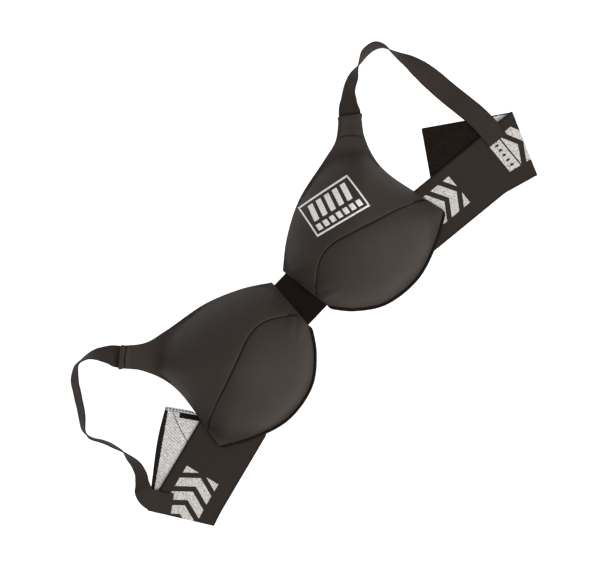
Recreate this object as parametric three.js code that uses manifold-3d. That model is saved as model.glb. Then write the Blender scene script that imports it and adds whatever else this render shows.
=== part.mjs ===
// Padded chest protector for boxing, laid on its back: two moulded cups with hard shells inside, an elastic
// centre panel, two elastic side bands with folded-back hook-and-loop ends, and two webbing straps.
// Millimetres. +X runs across the chest, +Y towards the shoulders, +Z up and out of the chest.
// The origin is the middle of the centre panel's back face, which lies on the table.
import * as THREE from 'three';
import { mergeVertices } from 'three/addons/utils/BufferGeometryUtils.js';
import Module from 'manifold-3d';

const wasm = await Module();
wasm.setup();

const RIGHT = 1;
const LEFT = -1;
const degrees = THREE.MathUtils.degToRad;
const heading = (angle) => new THREE.Vector2(Math.cos(degrees(angle)), Math.sin(degrees(angle)));

// ---- driving dimensions ----
const clearance = 0.3; // between layers that touch on the real object

const gore = { topWidth: 16.8, bottomWidth: 27.6, height: 54, thickness: 1.6 };
const goreToCup = 0.6; // gap between the centre panel's side and the cup's inner edge

function innerCorner(y) {
  const share = 0.5 - y / gore.height;
  return [(gore.topWidth + share * (gore.bottomWidth - gore.topWidth)) / 2 + goreToCup, y];
}

const cup = {
  innerTop: innerCorner(31), // the cup's inner edge runs a little past the centre panel at both ends
  innerBottom: innerCorner(-28),
  neckline: [[37, 52], [75, 70], [121, 79], [145, 84.5]],
  armhole: [[170, 69], [160, 46], [157.5, 22], [162.5, -10]],
  sideCorner: [169.8, -46.8],
  bottomEdge: [[138, -63.5], [100, -74.5], [60, -69.5], [32, -50.5]],
  apex: [88, -2],
  apexHeight: 62,
  roundness: 0.78, // exponent of the dome's profile, 0.5 for an ellipse and 1 for a parabola
  domeHalfLength: 85,
  domeHalfWidth: 80,
  domeSquareness: 2.6,
  edgeBlend: 12, // how sharply the dome's oval gives way to the outline where the outline is nearer
  rimHeight: 3.1,
};
const tab = { neckCorner: [165, 99], armCorner: [183, 85] };
const layShift = { [RIGHT]: 0, [LEFT]: -3.5 }; // how far each cup's middle has slid towards the shoulders

// How many straight pieces stand for each curved edge.
const facets = {
  neckline: 12, tabEnd: 2, armhole: 11, bottom: 13, inner: 3, seam: 24, binding: 26, bindingRound: 8,
};

const cover = { thickness: 1.5, turnedEdge: 2 };
const foam = { thickness: 4.5 };
const shell = { thickness: 2.5 };
const lining = { thickness: 1.2 };
const binding = { width: 3.2, height: 3.8 };
const seamGap = 0.35;
const seamLine = [
  [172, -30.5], [163, -24.6], [138, -12.4], [114, -4], [88, 5], [66, 12], [50, 12.5], [36, 7], [22, -4], [6, -19],
];

const band = { width: 68, length: 219.5, thickness: 1.6 };
const closure = { length: 62, thickness: 1.2, margin: 2 };
const foldedEndGap = 2; // between a folded-back end and the line where the band is sewn to the cup
const bandHinge = { top: [160, -11], slope: 77 }; // where the bands are sewn to the cups, in degrees from +X
// How each band lies: its direction, how much narrower it is at the cup and over which share of its
// lower edge, where and how it folds back, and how much of its end is taken up by a turned hem.
const bandLay = {
  [RIGHT]: {
    angle: -7.1, topAtCup: [168.5, -11.5], gathered: 6.5, gatheredShare: 0.656,
    foldAt: 125.4, foldAngle: 65.2, endAngle: 143.8, hem: 0,
  },
  [LEFT]: {
    angle: -13, topAtCup: [166.5, -14.8], gathered: 1, gatheredShare: 0.804,
    foldAt: 106, foldAngle: 59.5, endAngle: 146.3, hem: 4.5,
  },
};

// ---- heights of the folded band above the table ----
// The right end carries the hook patch on its upper face, the left end the loop patch on its lower face.
const bandZ = {
  [RIGHT]: { endBottom: 0, patchBottom: band.thickness + clearance },
  [LEFT]: { endBottom: closure.thickness + clearance, patchBottom: 0 },
};
const bandStack = band.thickness + closure.thickness + 2 * clearance;
const bandTop = bandStack + band.thickness;

// ---- straps and stitching ----
const strap = { width: 23, thickness: 1.5, sections: 36 };
const [onTable, onEnd, onBand] = [0, bandStack, bandTop];
const hanging = 1.5; // height of a strap's lower edge where it climbs from one level to the next
const underTab = [1, 0.5, 0.05]; // shares of the overlap at which the strap's path under the tab is set
const tabOverlap = 18; // length of strap sewn under the tab
// Each row is a point on the strap's middle line, how far the strap leans over there in degrees,
// and the height of what its lower edge lies on.
const strapRoute = {
  [RIGHT]: [
    [179, 97.6, 20, hanging], [184.6, 103.4, 45, onTable], [191.5, 110, 58, onTable],
    [204, 116.6, 62, onTable], [218.5, 122, 90, onTable], [233, 125.6, 106, onTable],
    [243.6, 123.6, 104, onTable], [250.6, 116, 90, onTable], [252.6, 104, 74, onTable],
    [256, 90, 53, onTable], [259, 76, 30, onTable], [261.4, 57, 8, onTable],
    [262.6, 36, 2, onTable], [264, 15, 0, onEnd], [265.2, -4, 0, onBand],
    [264.6, -20, 0, onBand], [262.4, -37.5, 0, onBand],
  ],
  [LEFT]: [
    [178, 97.8, 18, hanging], [182, 103.6, 42, onTable], [188.2, 110.8, 60, onTable],
    [197, 116.6, 78, onTable], [205.6, 118.6, 84, onTable], [214, 116.6, 72, onTable],
    [224, 109, 63, onTable], [234.6, 94, 63, onTable], [245.4, 78.5, 65, onTable],
    [254.6, 67, 74, onTable], [255.8, 56, 87, onTable], [250.2, 45.5, 90, onTable],
    [246, 34, 90, onTable], [243.2, 22.8, 84, onTable], [243, 12.6, 68, onTable],
    [243.9, 1.2, 57, onTable], [247.2, -8, 52, onTable], [252.2, -14.3, 48, hanging],
    [256.4, -20.3, 34, onBand], [259.2, -26.6, 18, onBand], [259.3, -33.1, 6, onBand],
    [257, -40, 0, onBand], [253.1, -46.5, 0, onBand], [248.4, -53.4, 0, onBand],
  ],
};
const stitch = { width: 1, thickness: 0.4, margin: 1.8, boxLength: 16, rowShare: [0.1, 0.9] };

// ---- materials ----
const fabric = (color) => new THREE.MeshStandardMaterial({ color, roughness: 0.9, metalness: 0 });
const coverCloth = () => fabric(0x3e3833);
const elastic = () => fabric(0x38302c);
const darkElastic = () => fabric(0x17120f);
const webbing = () => fabric(0x352e2a);
const thread = () => fabric(0x2a2522);
const liningCloth = () => fabric(0x4a4540);
const closureCloth = () => fabric(0x151210);
const foamPlastic = () => new THREE.MeshStandardMaterial({ color: 0x4e4b49, roughness: 0.8, metalness: 0 });
const hardPlastic = () => new THREE.MeshStandardMaterial({ color: 0xe6e6e2, roughness: 0.35, metalness: 0 });

// ---- solids ----
function geometryFrom(vertices, triangles) {
  const geometry = new THREE.BufferGeometry();
  const coordinates = vertices.flatMap((v) => [v.x, v.y, v.z]);
  geometry.setAttribute('position', new THREE.Float32BufferAttribute(coordinates, 3));
  geometry.setIndex(triangles.flat());
  return geometry;
}

function flipped(geometry) {
  const index = geometry.index.array;
  for (let i = 0; i < index.length; i += 3) {
    [index[i], index[i + 1]] = [index[i + 1], index[i]];
  }
  return geometry;
}

function signedVolume(geometry) {
  const position = geometry.attributes.position;
  const index = geometry.index.array;
  const [a, b, c] = [new THREE.Vector3(), new THREE.Vector3(), new THREE.Vector3()];
  let volume = 0;
  for (let i = 0; i < index.length; i += 3) {
    a.fromBufferAttribute(position, index[i]);
    b.fromBufferAttribute(position, index[i + 1]);
    c.fromBufferAttribute(position, index[i + 2]);
    volume += a.dot(b.cross(c)) / 6;
  }
  return volume;
}

// A closed solid through rings of equal length, capped by a fan of triangles at each end.
function loft(rings, firstPole, lastPole) {
  const count = rings[0].length;
  const middle = (ring) => ring.reduce((sum, v) => sum.add(v), new THREE.Vector3()).divideScalar(count);
  const vertices = [firstPole ?? middle(rings[0]), ...rings.flat(), lastPole ?? middle(rings.at(-1))];
  const last = vertices.length - 1;
  const at = (ring, i) => 1 + ring * count + (i % count);
  const triangles = [];
  for (let i = 0; i < count; i += 1) {
    triangles.push([0, at(0, i), at(0, i + 1)]);
    triangles.push([last, at(rings.length - 1, i + 1), at(rings.length - 1, i)]);
    for (let r = 0; r + 1 < rings.length; r += 1) {
      triangles.push([at(r, i), at(r + 1, i), at(r + 1, i + 1)]);
      triangles.push([at(r, i), at(r + 1, i + 1), at(r, i + 1)]);
    }
  }
  const geometry = geometryFrom(vertices, triangles);
  return signedVolume(geometry) < 0 ? flipped(geometry) : geometry;
}

// A flat slab with the given outline, and a hole through it for each outline in the list of holes.
function slab(outline, bottom, thickness, holes = []) {
  const turned = (points, clockwise) => {
    const corners = points.map(([x, y]) => new THREE.Vector2(x, y));
    return THREE.ShapeUtils.isClockWise(corners) === clockwise ? corners : corners.reverse();
  };
  const shape = new THREE.Shape(turned(outline, false));
  shape.holes = holes.map((hole) => new THREE.Path(turned(hole, true)));
  const geometry = new THREE.ExtrudeGeometry(shape, { depth: thickness, bevelEnabled: false });
  geometry.translate(0, 0, bottom);
  return welded(geometry);
}

function welded(geometry) {
  geometry.deleteAttribute('normal');
  geometry.deleteAttribute('uv');
  return mergeVertices(geometry, 1e-4);
}

function toManifold(geometry) {
  return new wasm.Manifold(new wasm.Mesh({
    numProp: 3,
    vertProperties: new Float32Array(geometry.attributes.position.array),
    triVerts: new Uint32Array(geometry.index.array),
  }));
}

function fromManifold(solid) {
  const mesh = solid.getMesh();
  const geometry = new THREE.BufferGeometry();
  geometry.setAttribute('position', new THREE.BufferAttribute(new Float32Array(mesh.vertProperties), 3));
  geometry.setIndex(new THREE.BufferAttribute(new Uint32Array(mesh.triVerts), 1));
  return geometry;
}

// Every shape below is drawn for the right side. The left one is its mirror image.
function mirrored(geometry, side) {
  if (side === RIGHT) return geometry;
  geometry.scale(-1, 1, 1);
  return flipped(geometry);
}

// ---- the cup's outline and dome ----
const spline = (points) => new THREE.SplineCurve(points.map(([x, y]) => new THREE.Vector2(x, y)));
const apex = new THREE.Vector2(...cup.apex);

function cupOutline() {
  const neckline = spline([cup.innerTop, ...cup.neckline, tab.neckCorner]).getPoints(facets.neckline);
  const tabEnd = spline([tab.neckCorner, tab.armCorner]).getPoints(facets.tabEnd);
  const armhole = spline([tab.armCorner, ...cup.armhole, cup.sideCorner]).getPoints(facets.armhole);
  const bottom = bottomEdge().getPoints(facets.bottom);
  const inner = spline([cup.innerBottom, cup.innerTop]).getPoints(facets.inner);
  return [neckline, tabEnd, armhole, bottom, inner].flatMap((points) => points.slice(0, -1));
}

function bottomEdge() {
  return spline([cup.sideCorner, ...cup.bottomEdge, cup.innerBottom]);
}

// The dome stays inside the outline, and leaves the tab and the side corner flat.
function domeRadius(edgePoint) {
  const ray = edgePoint.clone().sub(apex);
  const reach = ray.length();
  const [squareness, blend] = [cup.domeSquareness, cup.edgeBlend];
  const across = Math.abs(ray.x / reach / cup.domeHalfLength) ** squareness;
  const along = Math.abs(ray.y / reach / cup.domeHalfWidth) ** squareness;
  const oval = (across + along) ** (-1 / squareness);
  return (reach ** -blend + oval ** -blend) ** (-1 / blend);
}

function domeHeight(distance, radius, depth, base) {
  const share = Math.min(1, distance / (radius - depth));
  return base + (cup.apexHeight - cup.rimHeight - depth) * (1 - share ** 2) ** cup.roundness;
}

const outline = cupOutline();
const radii = outline.map(domeRadius);
const domeSteps = [0.2, 0.42, 0.62, 0.78, 0.9, 0.97];

function ringAt(reach, height) {
  return outline.map((point, i) => {
    const ray = point.clone().sub(apex);
    const length = ray.length();
    const distance = reach(length, radii[i]);
    ray.multiplyScalar(distance / length);
    return new THREE.Vector3(apex.x + ray.x, apex.y + ray.y, height(distance, radii[i]));
  });
}

// One surface of a layer, from near the apex to the dome's foot, at a depth below the cup's outer face.
function domeRings(depth, base) {
  return domeSteps.map((step) => ringAt(
    (length, radius) => step * (radius - depth),
    (distance, radius) => domeHeight(distance, radius, depth, base),
  ));
}

const levelRing = (inset, z) => ringAt((length) => length - inset, () => z);
const footRing = (depth, z) => ringAt((length, radius) => Math.min(radius - depth, length - depth), () => z);
const pole = (depth, base) => new THREE.Vector3(apex.x, apex.y, domeHeight(0, Infinity, depth, base));

// A layer that ends at the dome's foot.
function domeLayer(depth, thickness, base) {
  const inner = depth + thickness;
  const rings = [
    ...domeRings(depth, base),
    footRing(depth, base),
    footRing(inner, base),
    ...domeRings(inner, base).reverse(),
  ];
  return loft(rings, pole(depth, base), pole(inner, base));
}

// The cover and the lining run on past the dome, as a flat border.
function borderedLayer(depth, thickness, top, rimRings) {
  const inner = depth + thickness;
  const bottom = top - thickness;
  const rings = [
    ...domeRings(depth, top),
    footRing(depth, top),
    ...rimRings,
    footRing(inner, bottom),
    ...domeRings(inner, bottom).reverse(),
  ];
  return loft(rings, pole(depth, top), pole(inner, bottom));
}

const coverDepth = 0;
const foamDepth = coverDepth + cover.thickness + clearance;
const shellDepth = foamDepth + foam.thickness + clearance;
const liningDepth = shellDepth + shell.thickness + clearance;
const coverBottom = cup.rimHeight - cover.thickness;
const liningTop = coverBottom - clearance;
const layerBase = liningTop + clearance;

function coverSolid() {
  return borderedLayer(coverDepth, cover.thickness, cup.rimHeight, [
    levelRing(0, cup.rimHeight),
    levelRing(0, 0),
    levelRing(cover.turnedEdge, 0),
    levelRing(cover.turnedEdge, coverBottom),
  ]);
}

function liningSolid() {
  const inset = cover.turnedEdge + clearance;
  return borderedLayer(liningDepth, lining.thickness, liningTop, [
    levelRing(inset, liningTop),
    levelRing(inset, liningTop - lining.thickness),
  ]);
}

// The part of the cover on one side of the seam: a tall prism from the seam line to beyond the outline.
function seamPrism(direction) {
  const line = spline(seamLine).getPoints(facets.seam).map((p) => [p.x, p.y + (direction * seamGap) / 2]);
  const beyond = 2 * cup.sideCorner[0]; // further than the cup reaches in any direction
  const far = direction * beyond;
  const around = [[-beyond, line.at(-1)[1]], [-beyond, far], [beyond, far], [beyond, line[0][1]]];
  return slab([...line, ...around], -cup.apexHeight, 3 * cup.apexHeight);
}

function coverPanel(direction) {
  const prism = toManifold(seamPrism(direction));
  return fromManifold(toManifold(coverSolid()).intersect(prism));
}

function edgeBinding() {
  const reach = clearance + binding.width / 2;
  const samples = bottomEdge().getPoints(facets.binding).slice(1, -1);
  const rings = samples.map((point, i) => {
    const before = samples[Math.max(0, i - 1)];
    const after = samples[Math.min(samples.length - 1, i + 1)];
    const along = after.clone().sub(before).normalize();
    const out = new THREE.Vector2(-along.y, along.x);
    if (out.dot(point.clone().sub(apex)) < 0) out.negate();
    return sectionRing(facets.bindingRound, (angle) => {
      const sideways = reach + (binding.width / 2) * Math.cos(angle);
      const z = binding.height / 2 * (1 + Math.sin(angle));
      return new THREE.Vector3(point.x + out.x * sideways, point.y + out.y * sideways, z);
    });
  });
  return loft(rings);
}

function sectionRing(count, pointAt) {
  return Array.from({ length: count }, (_, i) => pointAt((2 * Math.PI * (i + 0.5)) / count));
}

function strapFrontStitching() {
  const corner = new THREE.Vector2(...tab.neckCorner);
  const across = new THREE.Vector2(...tab.armCorner).sub(corner);
  const down = new THREE.Vector2(across.y, -across.x).normalize();
  const point = (share, depth) => [
    corner.x + across.x * share + down.x * depth,
    corner.y + across.y * share + down.y * depth,
  ];
  const [near, far] = [stitch.margin, stitch.margin + stitch.width];
  const [first, last] = stitch.rowShare;
  const row = [point(first, near), point(last, near), point(last, far), point(first, far)];
  return slab(row, cup.rimHeight + clearance, stitch.thickness);
}

// ---- how the cup lies ----
// Its outer side rests on the folded band, so it tips about the centre panel's edge.
// Its middle can slide a little towards the shoulders.
const bandHingeTop = new THREE.Vector2(...bandHinge.top);
const bandHingeWay = heading(bandHinge.slope);
const bandHingeFoot = bandHingeTop.clone().addScaledVector(bandHingeWay, -band.width);
const cupTip = (bandTop + 2 * clearance) / (bandHingeFoot.x - cup.innerBottom[0]);

// How far the tipped cup's underside is above the table.
function tipHeight(x, y) {
  return Math.max(0, x - innerCorner(y)[0]) * cupTip;
}

function laidCup(geometry, side) {
  const position = geometry.attributes.position;
  const length = cup.sideCorner[0] - cup.innerTop[0];
  for (let i = 0; i < position.count; i += 1) {
    const [x, y, z] = [position.getX(i), position.getY(i), position.getZ(i)];
    const share = THREE.MathUtils.clamp((x - cup.innerTop[0]) / length, 0, 1);
    position.setXYZ(i, x, y + layShift[side] * Math.sin(Math.PI * share), z + tipHeight(x, y));
  }
  return mirrored(geometry, side);
}

// ---- bands ----
function bandPlan(side) {
  const lay = bandLay[side];
  const way = heading(lay.angle);
  const down = new THREE.Vector2(way.y, -way.x);
  const foldWay = heading(lay.foldAngle);
  const topAtCup = new THREE.Vector2(...lay.topAtCup);
  const foldTop = topAtCup.clone().addScaledVector(way, lay.foldAt);
  const foldFoot = foldTop.clone().addScaledVector(foldWay, band.width / foldWay.dot(down));
  const endWay = heading(lay.endAngle);
  const endDown = new THREE.Vector2(-endWay.y, endWay.x);
  const endLength = band.length - lay.foldAt - lay.hem;
  return { way, down, foldWay, foldTop, foldFoot, endWay, endDown, topAtCup, endLength };
}

// Where the line through a point, along a direction, meets the line where the bands are sewn to the cups.
function onBandHinge(point, way) {
  const cross = (a, b) => a.x * b.y - a.y * b.x;
  const offset = bandHingeTop.clone().sub(point);
  return point.clone().addScaledVector(way, cross(offset, bandHingeWay) / cross(way, bandHingeWay));
}

function sideBand(side) {
  const plan = bandPlan(side);
  const { gathered, gatheredShare } = bandLay[side];
  const footAtCup = plan.topAtCup.clone().addScaledVector(plan.down, band.width - gathered);
  const footLength = plan.foldFoot.clone().sub(footAtCup).dot(plan.way);
  const top = onBandHinge(plan.topAtCup, plan.way);
  const foot = onBandHinge(footAtCup, plan.way);
  const corners = [
    top,
    plan.foldTop.clone().addScaledVector(plan.way, -clearance),
    plan.foldFoot.clone().addScaledVector(plan.way, -clearance),
    footAtCup.clone().addScaledVector(plan.way, gatheredShare * footLength),
    foot,
  ];
  return mirrored(slab(corners.map((p) => [p.x, p.y]), bandStack, band.thickness), side);
}

// The part of a convex outline on the outer side of the sewn line. A folded end keeps that clear of the cup.
function outsideBandHinge(points) {
  const normal = new THREE.Vector2(bandHingeWay.y, -bandHingeWay.x);
  const start = bandHingeTop.clone().addScaledVector(normal, foldedEndGap);
  const distance = (p) => p.clone().sub(start).dot(normal);
  return points.flatMap((point, i) => {
    const next = points[(i + 1) % points.length];
    const [here, there] = [distance(point), distance(next)];
    const kept = here >= 0 ? [point] : [];
    return here * there < 0 ? [...kept, point.clone().lerp(next, here / (here - there))] : kept;
  });
}

// A strip of the folded end: from one distance along it to another, inset from its long edges.
function endStrip(side, from, to, inset, bottom, thickness) {
  const plan = bandPlan(side);
  const slant = (band.width * plan.foldWay.dot(plan.endWay)) / plan.foldWay.dot(plan.endDown);
  const at = (distance, depth) => plan.foldTop.clone()
    .addScaledVector(plan.endWay, distance).addScaledVector(plan.endDown, depth);
  const footFrom = from > 0 ? from : slant + clearance;
  const corners = [
    at(Math.max(from, clearance), inset),
    at(to, inset),
    at(to, band.width - inset),
    at(footFrom, band.width - inset),
  ];
  return mirrored(slab(outsideBandHinge(corners).map((p) => [p.x, p.y]), bottom, thickness), side);
}

function endBand(side) {
  return endStrip(side, 0, bandPlan(side).endLength, 0, bandZ[side].endBottom, band.thickness);
}

function closurePatch(side) {
  const { endLength } = bandPlan(side);
  const start = endLength - closure.margin - closure.length;
  const stop = endLength - closure.margin;
  return endStrip(side, start, stop, closure.margin, bandZ[side].patchBottom, closure.thickness);
}

// ---- straps ----
// The strap starts flat under the tab, which it leaves at right angles to the tab's end.
function strapRows(side) {
  const [neck, arm] = [new THREE.Vector2(...tab.neckCorner), new THREE.Vector2(...tab.armCorner)];
  const tabEnd = neck.clone().add(arm).divideScalar(2);
  const inward = new THREE.Vector2(arm.y - neck.y, neck.x - arm.x).normalize();
  const sewn = underTab.map((share) => {
    const { x, y } = tabEnd.clone().addScaledVector(inward, share * tabOverlap);
    return new THREE.Vector3(x, y, tipHeight(x, y) - 2 * clearance - strap.thickness / 2);
  });
  const laid = strapRoute[side].map(([x, y, lean, level]) => {
    const [standing, lying] = [Math.sin(degrees(lean)), Math.abs(Math.cos(degrees(lean)))];
    const rise = (standing * strap.width + lying * strap.thickness) / 2;
    return new THREE.Vector3(x, y, level + 2 * clearance + rise);
  });
  const leans = [...sewn.map(() => 0), ...strapRoute[side].map(([, , lean]) => lean)];
  return { points: [...sewn, ...laid], leans };
}

function strapSections(side) {
  const { points, leans } = strapRows(side);
  const path = new THREE.CatmullRomCurve3(points, false, 'centripetal');
  const leanPoints = leans.map((lean) => new THREE.Vector3(lean, 0, 0));
  const turning = new THREE.CatmullRomCurve3(leanPoints, false, 'centripetal');
  const up = new THREE.Vector3(0, 0, 1);
  return Array.from({ length: strap.sections + 1 }, (_, i) => {
    const t = i / strap.sections;
    const tangent = path.getTangent(t);
    const lean = degrees(turning.getPoint(t).x);
    const flat = tangent.clone().cross(up).normalize();
    const raised = flat.clone().cross(tangent).normalize();
    const across = flat.clone().multiplyScalar(Math.cos(lean)).addScaledVector(raised, Math.sin(lean));
    const normal = tangent.clone().cross(across).normalize();
    return { centre: path.getPoint(t), across, normal };
  });
}

function shoulderStrap(side) {
  const corners = [[1, 1], [-1, 1], [-1, -1], [1, -1]];
  const rings = strapSections(side).map(({ centre, across, normal }) => corners.map(([w, t]) => centre.clone()
    .addScaledVector(across, (w * strap.width) / 2).addScaledVector(normal, (t * strap.thickness) / 2)));
  return mirrored(loft(rings), side);
}

// How high the strap's upper face is near its rear end: so far back from the end, and out to one side.
function strapTop(side, back, out) {
  const sections = strapSections(side).reverse();
  const reach = sections.map(({ centre }) => centre.distanceTo(sections[0].centre));
  const next = reach.findIndex((distance) => distance > back);
  const share = (back - reach[next - 1]) / (reach[next] - reach[next - 1]);
  const [near, far] = [sections[next - 1], sections[next]].map(({ centre, across, normal }) => (
    centre.z + across.z * out + (Math.abs(normal.z) * strap.thickness) / 2));
  return near + share * (far - near);
}

// A rectangle of stitching on the strap's rear end, where it is sewn to the band.
function strapRearStitching(side) {
  const [before, last] = strapRows(side).points.slice(-2);
  const end = new THREE.Vector2(last.x, last.y);
  const way = new THREE.Vector2(last.x - before.x, last.y - before.y).normalize();
  const sideways = new THREE.Vector2(way.y, -way.x);
  const corner = (back, out) => {
    const point = end.clone().addScaledVector(way, -back).addScaledVector(sideways, out);
    return [point.x, point.y];
  };
  const rectangle = (inset) => {
    const [near, far] = [stitch.margin + inset, stitch.boxLength - inset];
    const half = strap.width / 2 - stitch.margin - inset;
    return [corner(near, -half), corner(near, half), corner(far, half), corner(far, -half)];
  };
  const box = slab(rectangle(0), clearance, stitch.thickness, [rectangle(stitch.width)]);
  const position = box.attributes.position;
  for (let i = 0; i < position.count; i += 1) {
    const offset = end.clone().sub(new THREE.Vector2(position.getX(i), position.getY(i)));
    const top = strapTop(side, offset.dot(way), -offset.dot(sideways));
    position.setZ(i, position.getZ(i) + top);
  }
  return mirrored(box, side);
}

function centrePanel() {
  const [top, bottom] = [gore.topWidth / 2 - clearance, gore.bottomWidth / 2 - clearance];
  const half = gore.height / 2;
  return slab([[-top, half], [top, half], [bottom, -half], [-bottom, -half]], 0, gore.thickness);
}

// ---- assembly ----
const protector = new THREE.Group();

function add(name, geometry, material) {
  const mesh = new THREE.Mesh(geometry, material);
  mesh.name = name;
  protector.add(mesh);
}

add('centre_panel', centrePanel(), darkElastic());
for (const [side, label] of [[RIGHT, 'right'], [LEFT, 'left']]) {
  const ends = { [RIGHT]: 'hook_patch', [LEFT]: 'loop_patch' };
  add(`cup_cover_upper_${label}`, laidCup(coverPanel(1), side), coverCloth());
  add(`cup_cover_lower_${label}`, laidCup(coverPanel(-1), side), coverCloth());
  const foamSolid = domeLayer(foamDepth, foam.thickness, layerBase);
  add(`foam_pad_${label}`, laidCup(foamSolid, side), foamPlastic());
  const shellSolid = domeLayer(shellDepth, shell.thickness, layerBase);
  add(`protective_shell_${label}`, laidCup(shellSolid, side), hardPlastic());
  add(`cup_lining_${label}`, laidCup(liningSolid(), side), liningCloth());
  add(`edge_binding_${label}`, laidCup(edgeBinding(), side), darkElastic());
  add(`strap_front_stitching_${label}`, laidCup(strapFrontStitching(), side), thread());
  add(`shoulder_strap_${label}`, shoulderStrap(side), webbing());
  add(`side_band_${label}`, sideBand(side), elastic());
  add(`strap_rear_stitching_${label}`, strapRearStitching(side), thread());
  add(`band_end_${label}`, endBand(side), elastic());
  add(`${ends[side]}_${label}`, closurePatch(side), closureCloth());
}

export default protector;
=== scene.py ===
"""Looks for a padded two-cup chest protector that lies on its back.

Shapes are written in millimetres for the right side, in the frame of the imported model. They are mirrored for the
left side.
"""
import math

import bmesh
import bpy
import numpy as np
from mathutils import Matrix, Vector, noise
from mathutils.bvhtree import BVHTree
from mathutils.geometry import delaunay_2d_cdt


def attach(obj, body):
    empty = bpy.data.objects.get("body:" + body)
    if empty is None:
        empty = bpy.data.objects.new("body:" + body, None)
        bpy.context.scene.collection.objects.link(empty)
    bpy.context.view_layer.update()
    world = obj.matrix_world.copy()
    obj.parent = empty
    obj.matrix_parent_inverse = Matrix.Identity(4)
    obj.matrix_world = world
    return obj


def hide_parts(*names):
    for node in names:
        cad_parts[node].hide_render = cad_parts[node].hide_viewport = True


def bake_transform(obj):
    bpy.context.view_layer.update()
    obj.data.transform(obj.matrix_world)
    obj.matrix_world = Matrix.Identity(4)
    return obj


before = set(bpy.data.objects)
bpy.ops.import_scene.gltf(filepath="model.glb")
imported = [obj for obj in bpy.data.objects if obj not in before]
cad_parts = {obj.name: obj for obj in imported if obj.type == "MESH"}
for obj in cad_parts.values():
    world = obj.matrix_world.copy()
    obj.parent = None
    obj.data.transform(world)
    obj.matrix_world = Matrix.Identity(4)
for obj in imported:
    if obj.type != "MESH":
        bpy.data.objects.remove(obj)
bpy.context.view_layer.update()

MM = 0.001
SIDES = {"right": 1, "left": -1}

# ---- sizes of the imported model, in millimetres ----
CLEARANCE = 0.3
GORE = {"top": 16.8, "bottom": 27.6, "height": 54.0, "thickness": 1.6}
APEX = np.array([88.0, -2.0])
APEX_HEIGHT = 62.0
ROUNDNESS = 0.78
DOME_HALF = (85.0, 80.0)
DOME_SQUARENESS = 2.6
RIM = 3.1
COVER = 1.5
LINING = 1.2
TURNED_EDGE = 2.0
FOAM, SHELL = 4.5, 2.5
LINING_DEPTH = COVER + FOAM + SHELL + 3 * CLEARANCE
TAB_NECK, TAB_ARM = np.array([165.0, 99.0]), np.array([183.0, 85.0])
NECKLINE = [[37, 52], [75, 70], [121, 79], [145, 84.5]]
ARMHOLE = [[170, 69], [160, 46], [157.5, 22], [162.5, -10]]
SIDE_CORNER = [169.8, -46.8]
BOTTOM = [[138, -63.5], [100, -74.5], [60, -69.5], [32, -50.5]]
SEAM = [
    [172, -30.5], [163, -24.6], [138, -12.4], [114, -4], [88, 5],
    [66, 12], [50, 12.5], [36, 7], [22, -4], [6, -19],
]
SLIDE = {"right": 0.0, "left": -3.5}
BAND = {"width": 68.0, "length": 219.5, "thickness": 1.6}
PATCH = {"length": 62.0, "thickness": 1.2, "margin": 2.0}
STACK = BAND["thickness"] + PATCH["thickness"] + 2 * CLEARANCE
BAND_TOP = STACK + BAND["thickness"]
HINGE_TOP, HINGE_SLOPE = np.array([160.0, -11.0]), 77.0
LAY = {
    "right": {
        "angle": -7.1, "top": (168.5, -11.5), "gathered": 6.5, "gathered_share": 0.656,
        "fold_at": 125.4, "fold": 65.2, "end": 143.8, "hem": 0,
    },
    "left": {
        "angle": -13, "top": (166.5, -14.8), "gathered": 1, "gathered_share": 0.804,
        "fold_at": 106, "fold": 59.5, "end": 146.3, "hem": 4.5,
    },
}
END_BOTTOM = {"right": 0.0, "left": PATCH["thickness"] + CLEARANCE}
PATCH_BOTTOM = {"right": BAND["thickness"] + CLEARANCE, "left": 0.0}
FOLDED_END_GAP = 2.0
STRAP = {"width": 23.0, "thickness": 1.5}
COVER_LAYER, BAND_LAYER, WEBBING_LAYER, TAPE_LAYER, GORE_LAYER = 0.9, 1.5, 1.35, 1.1, 1.4
TABLE, ON_END, ON_BAND, HANGING = 0.0, STACK, BAND_TOP, 1.5
TAB_OVERLAP = 18.0
STRAP_ROUTE = {
    "right": [
        [179, 97.6, 20, HANGING], [184.6, 103.4, 45, TABLE], [191.5, 110, 58, TABLE], [204, 116.6, 62, TABLE],
        [218.5, 122, 90, TABLE], [233, 125.6, 106, TABLE], [243.6, 123.6, 104, TABLE],
        [250.6, 116, 90, TABLE], [252.6, 104, 74, TABLE], [256, 90, 53, TABLE], [259, 76, 30, TABLE],
        [261.4, 57, 8, TABLE], [262.6, 36, 2, TABLE], [264, 15, 0, ON_END], [265.2, -4, 0, ON_BAND],
        [264.6, -20, 0, ON_BAND], [262.4, -37.5, 0, ON_BAND],
    ],
    "left": [
        [178, 97.8, 18, HANGING], [182, 103.6, 42, TABLE], [188.2, 110.8, 60, TABLE], [197, 116.6, 78, TABLE],
        [205.6, 118.6, 84, TABLE], [214, 116.6, 72, TABLE], [224, 109, 63, TABLE], [234.6, 94, 63, TABLE],
        [245.4, 78.5, 65, TABLE], [254.6, 67, 74, TABLE], [255.8, 56, 87, TABLE], [250.2, 45.5, 90, TABLE],
        [246, 34, 90, TABLE], [243.2, 22.8, 84, TABLE], [243, 12.6, 68, TABLE], [243.9, 1.2, 57, TABLE],
        [247.2, -8, 52, TABLE], [252.2, -14.3, 48, HANGING],
        [256.4, -20.3, 34, ON_BAND], [259.2, -26.6, 18, ON_BAND],
        [259.3, -33.1, 6, ON_BAND], [257, -40, 0, ON_BAND],
        [253.1, -46.5, 0, ON_BAND], [248.4, -53.4, 0, ON_BAND],
    ],
}


# ---- curves ----
def heading(angle):
    return np.array([math.cos(math.radians(angle)), math.sin(math.radians(angle))])


def unit(v):
    return v / np.linalg.norm(v)


def units(vectors):
    return vectors / np.linalg.norm(vectors, axis=-1, keepdims=True)


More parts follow.
